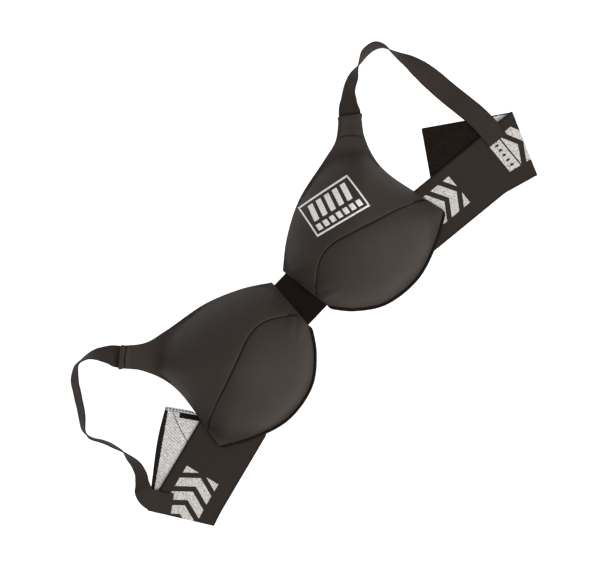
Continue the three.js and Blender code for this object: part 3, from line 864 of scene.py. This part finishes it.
def inflated(points, faces, pinned):
    """The panel after a short cloth simulation with its edges pinned and air under it."""
    mesh = bpy.data.meshes.new("panel_simulation")
    mesh.from_pydata([tuple(p * MM) for p in points], [], faces)
    obj = bpy.data.objects.new("panel_simulation", mesh)
    bpy.context.collection.objects.link(obj)
    obj.vertex_groups.new(name="pinned").add([int(i) for i in pinned], 1.0, "REPLACE")
    cloth = obj.modifiers.new("Cloth", "CLOTH")
    for key, value in CLOTH.items():
        setattr(cloth.settings, key, value)
    cloth.settings.effector_weights.gravity = 0
    cloth.point_cache.frame_start, cloth.point_cache.frame_end = 1, SETTLING_FRAMES
    scene = bpy.context.scene
    for number in range(1, SETTLING_FRAMES + 1):
        scene.frame_set(number)
    evaluated = obj.evaluated_get(bpy.context.evaluated_depsgraph_get())
    shift = np.array([v.co for v in evaluated.data.vertices]) / MM - points
    scene.frame_set(1)
    bpy.data.objects.remove(obj)
    length = np.linalg.norm(shift, axis=1, keepdims=True)
    return points + shift * np.minimum(length, MOST_SWELL) / np.maximum(length, 1e-9)


def cover_relief(plan, side):
    """How far the cover's cloth stands above its even dome over each point."""
    away = distance_to(CLOSED_OUTLINE, plan)
    return slack(plan, side) * smoothstep(0.0, 9.0, away) + hem_ridge(plan) - hollow_of_seam(plan)


def seam_shade_strip(side):
    """A near-black strip under the gap between the two panels: painted shade, which shows as the seam's dark line.
    """
    line = evenly(SEAM_LINE[inside(OUTLINE, SEAM_LINE)], 1.0)[1:-1]
    across = right_of(units(np.gradient(line, axis=0)))
    height = dome(line, 0, RIM) + cover_relief(line, side) - 0.75
    grid = np.stack([np.c_[line + across * w, height] for w in np.linspace(-1.3, 1.3, 5)], 1)
    return sheet_piece(f"cup_seam_{side}_tape", laid(grid, side), 0.4, side, [MATERIALS["tape"]])


def cover_panel(side, direction, label):
    """One padded panel of the cover: swollen cloth, its turned edges and its thickness."""
    outline, seam = outline_side(direction)
    plan, faces = plan_mesh(outline, 2.0)
    loop = boundary_loop(faces)
    on_edge = np.zeros(len(plan), bool)
    on_edge[loop] = True
    foot = distance_to(CLOSED_OUTLINE, plan) > 3.0
    points = np.c_[plan, smoothed(dome(plan, 0, RIM), faces, foot & ~on_edge, 24)]
    points = inflated(points, faces, np.flatnonzero(on_edge))
    points[:, 2] += cover_relief(plan, side)
    seam_edge = {i for i in loop if distance_to(seam, plan[i:i + 1])[0] < 0.3}
    points, faces = turned_edges(points, faces, loop, seam_edge)
    name = f"cup_cover_{label}_{side}_cloth"
    return thickened(make_object(name, laid(points, side), faces, side, [MATERIALS["cover"]]), COVER_LAYER)


TURN_PROFILE = [(0.45, -0.6), (0.35, -2.1), (-1.6, -2.9)]


def turned_edges(points, faces, loop, seam_edge):
    """Rolls the cover's free edges down and under. Along the seam the edge goes straight down."""
    points, faces, ring = list(points), list(faces), loop
    for turn, (out, down) in enumerate(TURN_PROFILE):
        numbers = list(range(len(points), len(points) + len(loop)))
        for before, vertex, after in around(loop):
            sideways = unit(right_of(points[after][:2] - points[before][:2]))
            reach, step = (0.0, -0.55 * turn - 0.4) if vertex in seam_edge else (out, down)
            points.append(points[vertex] + np.array([*(sideways * reach), step]))
        faces += ring_faces(ring, numbers)
        ring = numbers
    return np.array(points), faces


def lining(side):
    """The soft lining inside the cup, with its edge under the cover's turned hem."""
    rays = OUTLINE - APEX
    plan, faces = plan_mesh(APEX + rays - units(rays) * (TURNED_EDGE + CLEARANCE), 3.0)
    on_edge = np.zeros(len(plan), bool)
    on_edge[boundary_loop(faces)] = True
    height = smoothed(dome(plan, LINING_DEPTH, RIM - COVER - CLEARANCE), faces, ~on_edge, 6)
    height += np.where(on_edge, 0, 0.35 * drift(plan, 0.06, 0.045, 11.0))
    points = laid(np.c_[plan, height], side)
    obj = make_object(f"cup_lining_{side}_cloth", points, faces, side, [MATERIALS["lining"]])
    return thickened(obj, LINING * 0.9)


PIPING = {"across": 1.65, "up": 1.9, "middle": 1.95, "taper": 4.0, "sides": 16, "wobble": 0.02}


def piping_line(side):
    """The middle of the piping, just outside the cup's lower edge and drawn in at its corners."""
    line = evenly(EDGES["bottom"], 1.0)
    out = right_of(units(np.gradient(line, axis=0)))
    out *= np.sign(np.sum(out * (line - APEX), axis=1))[:, None]
    to_end = np.minimum(np.arange(len(line)), np.arange(len(line))[::-1])
    reach = 0.4 + 1.3 * smoothstep(0.0, 6.0, to_end)
    return laid(np.c_[line + out * reach[:, None], np.full(len(line), PIPING["middle"])], side)


def piping(side):
    """The elastic piping along the cup's lower edge, a tube that narrows to both its ends."""
    centres = piping_line(side)
    lengths = lengths_along(centres)
    sides = PIPING["sides"]
    round_once = (PIPING["across"] + PIPING["up"]) * math.pi
    points, uv = [], []
    for k, (centre, tangent) in enumerate(zip(centres, units(np.gradient(centres, axis=0)))):
        across = unit(np.cross(tangent, [0, 0, 1.0]))
        raised = np.cross(across, tangent)
        to_end = min(lengths[k], lengths[-1] - lengths[k])
        narrow = 0.25 + 0.75 * math.sqrt(min(1.0, to_end / PIPING["taper"]))
        for s in range(sides):
            angle = 2 * math.pi * s / sides
            swell = narrow * (1 + PIPING["wobble"] * math.sin(k * 1.9) * (1 if s % 2 else 0.6))
            ring = across * PIPING["across"] * math.cos(angle) + raised * PIPING["up"] * math.sin(angle)
            points.append(centre + ring * swell)
            uv.append((lengths[k], s * round_once / sides))
    faces = tube_faces(0, len(centres), sides)
    name = f"edge_binding_{side}_piping"
    return outward(make_object(name, points, faces, side, [MATERIALS["piping"]], uv=uv))


# ---- emblem ----
EMBLEM = [(66.9, 65.0), (125.3, 50.9), (117.6, 11.7), (57.9, 28.8)]


def emblem_point(u, v):
    """A point of the emblem's quadrilateral: u goes from its left to its right edge, v from top to foot."""
    a, b, c, d = (np.array(p) for p in EMBLEM)
    return (1 - v) * ((1 - u) * a + u * b) + v * ((1 - u) * d + u * c)


def box(left, top, width, height):
    return [(left, top), (left + width, top), (left + width, top + height), (left, top + height)]


def emblem_shapes():
    """A thin frame round slanted bars over a row of small blocks, as outlines in the emblem's coordinates."""
    across, tall = 0.028, 0.049
    bars = [
        [(left + 0.05, 0.13), (left + 0.145, 0.13), (left + 0.095, 0.60), (left, 0.60)]
        for left in 0.10 + 0.16 * np.arange(5)
    ]
    blocks = [box(x, 0.70, 0.085, 0.18) for x in np.linspace(0.08, 0.835, 7)]
    rails = [box(0, y, 1, tall) for y in (0, 1 - tall)]
    posts = [box(x, tall, across, 1 - 2 * tall) for x in (0, 1 - across)]
    return bars + blocks + rails + posts


def dropped_on(surface, points, side):
    """Where points in plan land on top of a piece, each with the surface's normal there, in metres."""
    tree = BVHTree.FromObject(surface, bpy.context.evaluated_depsgraph_get())
    above = [Vector((SIDES[side] * x * MM, y * MM, 0.2)) for x, y in points]
    return [tree.ray_cast(start, Vector((0, 0, -1)))[:2] for start in above]


def emblem(cover):
    """The print on the right cup, laid on the swollen cover."""
    bpy.context.view_layer.update()
    plan, faces = [], []
    for shape in emblem_shapes():
        points, triangles = plan_mesh([emblem_point(u, v) for u, v in shape], 1.1)
        faces += [tuple(len(plan) + i for i in triangle) for triangle in triangles]
        plan += list(points)
    points = [(hit + normal * 0.12 * MM) / MM for hit, normal in dropped_on(cover, plan, "right")]
    obj = make_object("cup_emblem_right_print", points, faces, "right", [MATERIALS["ink"]])
    return thickened(obj, 0.2, offset=0.4)


# ---- bands ----
def band_plan(side):
    """Where the band's edges, its fold and its folded end lie."""
    lay = LAY[side]
    way = heading(lay["angle"])
    down = right_of(way)
    top = np.array(lay["top"], float)
    fold_way = heading(lay["fold"])
    fold_top = top + way * lay["fold_at"]
    fold_foot = fold_top + fold_way * (BAND["width"] / (fold_way @ down))
    end_way = heading(lay["end"])
    return {
        "way": way, "down": down, "top": top, "fold_way": fold_way, "fold_top": fold_top,
        "fold_foot": fold_foot, "end_way": end_way, "end_down": -right_of(end_way),
        "end_length": BAND["length"] - lay["fold_at"] - lay["hem"],
    }


def on_end(plan, distance, depth):
    """A point of the folded end: a distance along it from the fold, and a depth across it."""
    return plan["fold_top"] + plan["end_way"] * distance + plan["end_down"] * depth


def on_line(point, way, start, direction):
    """Where the line through a point along a way meets another line."""
    cross = lambda a, b: a[0] * b[1] - a[1] * b[0]
    return point + way * cross(start - point, direction) / cross(way, direction)


UNDER_CUP = {"top": 7.0, "foot": 34.0}
TUCK = 10.0
TUCK_FROM = {"right": -12.0, "left": -15.0}


def wing_grid(side, rows=100, columns=34):
    """The band from under the cup to where it folds back. Its lower edge tucks in under the cup."""
    plan = band_plan(side)
    top_start, _ = hinge_crossing(plan, plan["top"], UNDER_CUP["top"])
    foot_at_cup = plan["top"] + plan["down"] * (BAND["width"] - LAY[side]["gathered"])
    foot_start, foot_hinge = hinge_crossing(plan, foot_at_cup, UNDER_CUP["foot"])
    top = even_count([top_start, plan["fold_top"]], rows)
    foot_length = (plan["fold_foot"] - foot_at_cup) @ plan["way"]
    widening = foot_at_cup + plan["way"] * foot_length * LAY[side]["gathered_share"]
    foot = even_count([foot_start, widening, plan["fold_foot"]], rows)
    beyond = (foot - foot_hinge) @ plan["way"]
    tuck_from = TUCK_FROM[side]
    foot -= plan["down"] * (TUCK * smoothstep(tuck_from, tuck_from - 14.0, beyond))[:, None]
    v = np.linspace(0, 1, columns)[None, :, None]
    flat = top[:, None] * (1 - v) + foot[:, None] * v
    along = (flat - plan["top"]) @ plan["way"]
    across = np.broadcast_to(np.linspace(0, BAND["width"], columns)[None, :], along.shape)
    middle = STACK + BAND["thickness"] / 2
    off_hinge = (flat - HINGE_TOP) @ HINGE_OUT
    away = np.linalg.norm(flat - plan["fold_top"], axis=2)
    still = smoothstep(5, 20, off_hinge) * smoothstep(0, 14, away)
    wave = 0.14 * np.sin(along * 0.11) * np.cos(across * 0.07) * still
    return np.dstack([flat, middle + wave]), lay_uv(side, along, across)


def hinge_crossing(plan, point, before):
    """Where the band's edge through a point meets the sewn line, and the place a distance before that."""
    at_hinge = on_line(point, plan["way"], HINGE_TOP, HINGE_WAY)
    return at_hinge - plan["way"] * before, at_hinge


MOTIF_START = 79.0


def lay_uv(side, along, across):
    """Lay coordinates of a band. Both are cut from one strip, so the motif runs the same way on both."""
    return np.dstack([along if side == "right" else MOTIF_START - along, across])


def band_materials(side):
    return [MATERIALS["outer"], MATERIALS[f"inner_{side}"]]


def band_wing(side):
    grid, uv = wing_grid(side)
    return sheet_piece(f"side_band_{side}_elastic", grid, BAND_LAYER, side, band_materials(side), uv)


def end_middle(side):
    return END_BOTTOM[side] + BAND["thickness"] / 2


def fold_levels(side):
    """The middles of the band's upper and lower layers."""
    return STACK + BAND["thickness"] / 2, end_middle(side)


def band_fold(side, columns=34, steps=14):
    """The turn of the band round its fold line, from the upper layer to the lower one."""
    plan = band_plan(side)
    upper, lower = fold_levels(side)
    centre, radius = (upper + lower) / 2, (upper - lower) / 2
    out = unit(plan["way"] - plan["fold_way"] * (plan["way"] @ plan["fold_way"]))
    v = np.linspace(0, 1, columns)
    line = plan["fold_top"] + (plan["fold_foot"] - plan["fold_top"]) * v[:, None]
    rows, uvs = [], []
    for turn in np.linspace(0, math.pi, steps + 1):
        flat = line + out * radius * math.sin(turn)
        rows.append(np.c_[flat, np.full(columns, centre + radius * math.cos(turn))])
        along = (line - plan["top"]) @ plan["way"] + radius * turn
        uvs.append(lay_uv(side, along[None], (v * BAND["width"])[None])[0])
    grid, uv = np.array(rows), np.array(uvs)
    if grid_normals(grid)[0, :, 2].mean() < 0:
        grid, uv = grid[:, ::-1], uv[:, ::-1]
    name = f"band_fold_{side}_elastic"
    return sheet_piece(name, grid, BAND_LAYER, side, band_materials(side), uv, grid_normals(grid))


def end_corners(side, start, stop, inset):
    """The corners of a stretch of the folded end. One that starts at the fold follows the fold's slant."""
    plan = band_plan(side)
    slant = BAND["width"] * (plan["fold_way"] @ plan["end_way"]) / (plan["fold_way"] @ plan["end_down"])
    foot = BAND["width"] - inset
    corners = [(start, inset), (stop, inset), (stop, foot), (start if start > 0 else slant, foot)]
    return [on_end(plan, *corner) for corner in corners]


def clipped(corners):
    """The outline without what would lie under the line where the band is sewn to the cup."""
    start = HINGE_TOP + HINGE_OUT * FOLDED_END_GAP
    distance = [(c - start) @ HINGE_OUT for c in corners]
    kept = []
    for k, corner in enumerate(corners):
        n = (k + 1) % len(corners)
        if distance[k] >= 0:
            kept.append(corner)
        if distance[k] * distance[n] < 0:
            kept.append(corner + (corners[n] - corner) * distance[k] / (distance[k] - distance[n]))
    return kept


def flat_piece(name, side, outline, bottom, thickness, materials, spacing=1.6, fuzz=0.0):
    """A flat cloth piece cut to an outline, with a rounded rim. Its back and rim have the last material."""
    flat, triangles = plan_mesh(outline, spacing)
    plan = band_plan(side)
    loop = boundary_loop(triangles)
    count, half = len(flat), thickness / 2
    offset = flat - plan["fold_top"]
    along, across = offset @ plan["end_way"] + LAY[side]["fold_at"], offset @ plan["end_down"]
    uv = lay_uv(side, along[None], across[None])[0]
    middle = bottom + half + fuzz * drift(flat, 0.9, 0.9, 2.0)
    rim = []
    for before, vertex, after in around(loop):
        sideways = unit(right_of(flat[after] - flat[before]))
        rim.append([*(flat[vertex] + sideways * half * 0.5), middle[vertex]])
    numbers = list(range(2 * count, 2 * count + len(loop)))
    edges = ring_faces(loop, numbers) + ring_faces(numbers, [count + i for i in loop])
    faces = triangles + [tuple(count + i for i in reversed(t)) for t in triangles] + edges
    parts = [0] * len(triangles) + [len(materials) - 1] * (len(triangles) + len(edges))
    points = np.vstack([np.c_[flat, middle + half], np.c_[flat, middle - half], rim])
    return outward(make_object(name, points, faces, side, materials, parts, np.vstack([uv, uv, uv[loop]])))


def bulged(corners, plan):
    """The left end's outline, whose long free edge is stretched a little outwards near the end."""
    length = plan["end_length"]
    stops = np.linspace(0, 1, 24)[1:-1]
    swell = 2.4 * np.sin(math.pi * stops**1.6) ** 1.2
    edge = [on_end(plan, length * s, -w) for s, w in zip(stops, swell)]
    return [corners[0], *edge, *corners[1:]]


def band_end(side):
    plan = band_plan(side)
    outline = clipped(end_corners(side, 0, plan["end_length"], 0))
    if side == "left":
        outline = bulged(outline, plan)
    materials = band_materials(side)[::-1]
    return flat_piece(f"band_end_{side}_elastic", side, outline, END_BOTTOM[side], BAND_LAYER, materials)


def closure(side):
    kind, margin = ("hook", 0.2) if side == "right" else ("loop", PATCH["margin"])
    stop = band_plan(side)["end_length"] - margin
    outline = clipped(end_corners(side, stop - PATCH["length"], stop, margin))
    bottom = PATCH_BOTTOM[side] + 0.05
    return flat_piece(f"{kind}_patch_{side}_tape", side, outline, bottom, TAPE_LAYER, [MATERIALS[kind]], fuzz=0.1)


def end_strip(name, side, start, stop, low, high, material):
    """A strip laid on the folded end: a stretch along it, and a stretch of its width."""
    plan = band_plan(side)
    corners = ((start, low), (stop, low), (stop, high), (start, high))
    outline = clipped([on_end(plan, *corner) for corner in corners])
    bottom = END_BOTTOM[side] + BAND["thickness"] - 0.1
    return flat_piece(name, side, outline, bottom, 0.8, [MATERIALS[material]], spacing=0.9)


def end_trim():
    """What is sewn on the left end: its turned hem, the bar that closes it, and one line of stitches."""
    side = "left"
    plan = band_plan(side)
    stop = plan["end_length"] + 0.3
    hem = end_strip("band_end_left_hem", side, stop - 4.2, stop, 0.4, BAND["width"] - 0.4, "hem")
    bar = end_strip("band_end_left_bar", side, stop - 9.2, stop - 3.6, 16.0, 42.0, "hook")
    top = END_BOTTOM[side] + BAND["thickness"] + 0.1
    line = [[*on_end(plan, *place), top] for place in ((103.5, 9.0), (90.0, 17.4), (76.0, 29.0))]
    return hem, bar, stitches("band_end_left_row", line, side, 2.6, 0.2, 0.5)


# ---- straps ----
def strap_rows(side):
    """The strap's middle line, from under the tab to the band, and how far it leans over at each point."""
    tab_end = (TAB_NECK + TAB_ARM) / 2
    points, leans = [], []
    for share in (1, 0.5, 0.05):
        x, y = tab_end + TAB_IN * share * TAB_OVERLAP
        points.append([x, y, tip_height(x, y) - 2 * CLEARANCE - STRAP["thickness"] / 2])
        leans.append(0)
    for x, y, lean, level in STRAP_ROUTE[side]:
        standing, lying = math.sin(math.radians(lean)), abs(math.cos(math.radians(lean)))
        rise = (standing * STRAP["width"] + lying * STRAP["thickness"]) / 2
        points.append([x, y, level + 2 * CLEARANCE + rise])
        leans.append(lean)
    return np.array(points), np.array(leans, float)


def strap_frames(side, steps=300):
    """The strap's middle line with the ways across it and out of its face."""
    points, leans = strap_rows(side)
    centres = centripetal(points, steps)
    lean = np.radians(centripetal(np.c_[leans, np.zeros((len(leans), 2))], steps)[:, :1])
    tangents = units(np.gradient(centres, axis=0))
    flat = units(np.cross(tangents, [0, 0, 1.0]))
    across = flat * np.cos(lean) + np.cross(flat, tangents) * np.sin(lean)
    return centres, across, np.cross(tangents, across)


def strap(side):
    """The shoulder strap: flat webbing with rounded selvedges, following its laid path."""
    centres, across, normals = strap_frames(side)
    share = np.linspace(-1, 1, 13)[None, :, None]
    half = STRAP["width"] / 2 - 0.3
    lengths = lengths_along(centres)[:, None, None]
    ripple = 0.12 * np.sin(lengths * 0.35) * smoothstep(0, 20, lengths)
    grid = centres[:, None] + across[:, None] * share * half + (ripple - 0.25 * share**2) * normals[:, None]
    uv = np.concatenate(np.broadcast_arrays(lengths, share * half + STRAP["width"] / 2), 2)
    name = f"shoulder_strap_{side}_webbing"
    directions = np.broadcast_to(normals[:, None], grid.shape)
    return sheet_piece(name, grid, WEBBING_LAYER, side, [MATERIALS["webbing"]], uv, directions)


# ---- stitching ----
def stitches(name, path, side, length=1.9, gap=0.8, radius=0.28):
    """A row of single stitches: short rounded threads, sunk a little, along a path of points with heights."""
    sides, rings, sink = 6, 5, 0.08
    path = evenly(path, length + gap)
    points, faces = [], []
    for a, b in zip(path[:-1], path[1:]):
        way = unit(b - a)
        across = unit(np.cross(way, [0, 0, 1.0]))
        raised = np.cross(across, way)
        faces += tube_faces(len(points), rings, sides)
        for t in np.linspace(0, 1, rings):
            swell = radius * math.sqrt(max(0.06, 1 - (2 * t - 1) ** 2))
            centre = a + way * (gap / 2 + t * length) + raised * (swell * 0.6 - sink)
            for angle in 2 * math.pi * np.arange(sides) / sides:
                points.append(centre + (across * math.cos(angle) + raised * 0.8 * math.sin(angle)) * swell)
    return outward(make_object(name, points, faces, side, [MATERIALS["thread"]]))


def joined(name, pieces):
    """Several meshes as one piece."""
    mesh = bmesh.new()
    for piece in pieces:
        mesh.from_mesh(piece.data)
    first = pieces[0]
    mesh.to_mesh(first.data)
    mesh.free()
    for piece in pieces[1:]:
        bpy.data.objects.remove(piece)
    first.name = name
    return first


def front_stitching(side, cover):
    """Two rows across the tab, where the strap is sewn under it."""
    rows = []
    for k, depth in enumerate((2.3, 4.3)):
        ends = [TAB_NECK + TAB_WAY * TAB_WIDTH * share + TAB_IN * depth for share in (0.08, 0.92)]
        plan = evenly(ends, 0.8)
        hits = [hit for hit, _ in dropped_on(cover, plan, side)]
        line = [[*place, hit.z / MM] for place, hit in zip(plan, hits) if hit is not None]
        rows.append(stitches(f"front_row_{side}_{k}", line, side))
    return joined(f"strap_front_stitching_{side}_thread", rows)


def rear_stitching(side):
    """A stitched box, where the strap's end is sewn to the band."""
    points, _ = strap_rows(side)
    before, last = points[-2], points[-1]
    way = unit(last[:2] - before[:2])
    near, far, half = 2.0, 16.5, STRAP["width"] / 2 - 2.3
    height = last[2] + STRAP["thickness"] / 2 - 0.25
    corners = [
        [*(last[:2] - way * back + right_of(way) * out), height]
        for back, out in ((near, -half), (near, half), (far, half), (far, -half))
    ]
    rows = [stitches(f"rear_row_{side}_{k}", [corners[k - 1], corners[k]], side) for k in (1, 2, 3, 0)]
    return joined(f"strap_rear_stitching_{side}_thread", rows)


# ---- centre panel ----
def centre_panel():
    """The elastic between the cups, drawn in a little by its tension."""
    rows, columns = 60, 28
    y = np.linspace(GORE["height"] / 2, -GORE["height"] / 2, rows)
    share = 0.5 - y / GORE["height"]
    half = (GORE["top"] + share * (GORE["bottom"] - GORE["top"])) / 2 + 1.8
    v = np.linspace(-1, 1, columns)
    x = half[:, None] * v[None, :]
    gather = 0.22 * np.sin(y * 0.9)[:, None] * (np.abs(v) ** 3)[None, :]
    z = GORE["thickness"] / 2 + 0.1 + 0.25 * (1 - v**2)[None, :] + gather * 0.5
    grid = np.dstack([x, np.broadcast_to(y[:, None], x.shape), np.broadcast_to(z, x.shape)])
    uv = grid[..., 1::-1] + 40
    return sheet_piece("centre_panel_elastic", grid, GORE_LAYER, "right", [MATERIALS["gore"]], uv)


# ---- assembly ----
def cup_pieces(side):
    body = f"cup_{side}"
    panels = (("upper", 1), ("lower", -1))
    covers = {label: cover_panel(side, direction, label) for label, direction in panels}
    for label, piece in covers.items():
        finish_piece(piece, body, "cover_cloth", f"cup_cover_{label}_{side}")
    inside_cloth = lining(side)
    finish_piece(inside_cloth, body, "lining_cloth", f"cup_lining_{side}")
    finish_piece(piping(side), body, "dark_elastic", f"edge_binding_{side}")
    wrap = tab_wrap(side)
    finish_piece(wrap, body, "cover_cloth")
    # The strip under the seam is painted shade.
    finish_piece(seam_shade_strip(side), body, "thread")
    finish_piece(front_stitching(side, wrap), body, "thread", f"strap_front_stitching_{side}")
    if side == "right":
        finish_piece(emblem(covers["upper"]), body, "thread")
    for node, material in (("foam_pad", "foam"), ("protective_shell", "shell")):
        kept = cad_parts[f"{node}_{side}"].data.materials
        kept.clear()
        kept.append(MATERIALS[material])


def finish_piece(piece, body, slot, *nodes):
    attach(piece, body)
    name_piece(nodes)


def name_piece(nodes):
    if nodes:
        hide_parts(*nodes)


def placed(point, side):
    """A point of the right side's frame in metres, mirrored for the left."""
    x, y, z = point
    return (SIDES[side] * x * MM, y * MM, z * MM)


def band_pieces(side):
    cup, wing_body, end_body = f"cup_{side}", f"side_band_{side}", f"band_end_{side}"
    wing = band_wing(side)
    middle = HINGE_TOP - HINGE_WAY * BAND["width"] / 2
    height = STACK + BAND["thickness"] / 2
    start, end = (placed((*(middle + HINGE_OUT * way), height), side) for way in (-5, 5))
    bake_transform(wing)
    name_piece([f"side_band_{side}"])
    fold, plan = band_fold(side), band_plan(side)
    upper, lower = fold_levels(side)
    start = placed((*plan["fold_top"], upper + BAND["thickness"] / 2), side)
    end = placed((*plan["fold_top"], lower - BAND["thickness"] / 2), side)
    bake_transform(fold)
    name_piece([])
    end = band_end(side)
    finish_piece(end, end_body, "band_elastic", f"band_end_{side}")
    if side == "left":
        for trim in end_trim():
            finish_piece(trim, end_body, "thread")
    kind = "hook" if side == "right" else "loop"
    finish_piece(closure(side), end_body, "hook_and_loop", f"{kind}_patch_{side}")


def strap_pieces(side):
    cup, wing_body = f"cup_{side}", f"side_band_{side}"
    piece = strap(side)
    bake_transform(piece)
    name_piece([f"shoulder_strap_{side}"])
    length = float(lengths_along(strap_frames(side)[0])[-1])
    finish_piece(rear_stitching(side), wing_body, "thread", f"strap_rear_stitching_{side}")


# ---- camera, floor and light ----
def camera():
    data = bpy.data.cameras.new("camera")
    data.lens, data.sensor_width = 100, 36
    obj = bpy.data.objects.new("camera", data)
    bpy.context.collection.objects.link(obj)
    obj.location = (0.0137, 0.0056, 1.773)
    obj.rotation_euler = (0, 0, math.radians(-46.4))
    bpy.context.scene.camera = obj


def floor():
    size, depth = 6.0, -0.30
    corners = [(-size, -size, depth), (size, -size, depth), (size, size, depth), (-size, size, depth)]
    mesh = bpy.data.meshes.new("floor")
    mesh.from_pydata(corners, [], [(0, 1, 2, 3)])
    finish = Finish("floor", (0.5, 0.5, 0.5), 1.0, 0.0)
    finish.surface.inputs["Emission Color"].default_value = (1, 1, 1, 1)
    finish.surface.inputs["Emission Strength"].default_value = 0.85
    mesh.materials.append(finish.material)
    obj = bpy.data.objects.new("floor", mesh)
    bpy.context.collection.objects.link(obj)


def area_light(name, location, target, size, power):
    data = bpy.data.lights.new(name, "AREA")
    data.shape = "RECTANGLE"
    data.size, data.size_y = size
    data.energy = power
    obj = bpy.data.objects.new(name, data)
    bpy.context.collection.objects.link(obj)
    obj.location = location
    obj.rotation_mode = "QUATERNION"
    obj.rotation_quaternion = (Vector(target) - Vector(location)).to_track_quat("-Z", "Y")


def lights():
    """A white room that brightens upwards, a broad light from the foot of the object and a faint one opposite."""
    world = bpy.data.worlds.new("studio")
    world.use_nodes = True
    tree = world.node_tree
    split = tree.nodes.new("ShaderNodeSeparateXYZ")
    tree.links.new(tree.nodes.new("ShaderNodeTexCoord").outputs["Generated"], split.inputs[0])
    fade = tree.nodes.new("ShaderNodeMapRange")
    tree.links.new(split.outputs[2], fade.inputs[0])
    for number, value in enumerate((0.08, 0.55, 0.5, 0.56), start=1):
        fade.inputs[number].default_value = value
    background = tree.nodes["Background"]
    background.inputs[0].default_value = (1, 1, 1, 1)
    tree.links.new(fade.outputs[0], background.inputs[1])
    bpy.context.scene.world = world
    area_light("key", (0.35, -1.25, 1.35), (0, -0.02, 0), (1.3, 1.3), 26)
    area_light("fill", (-0.9, 0.7, 1.7), (0, 0, 0), (1.6, 1.6), 1.5)
    settings = bpy.context.scene.view_settings
    settings.view_transform = "Standard"
    settings.look = "None"


camera()
floor()
lights()
gore = centre_panel()
finish_piece(gore, "centre", "dark_elastic", "centre_panel")
for each_side in SIDES:
    cup_pieces(each_side)
    band_pieces(each_side)
    strap_pieces(each_side)
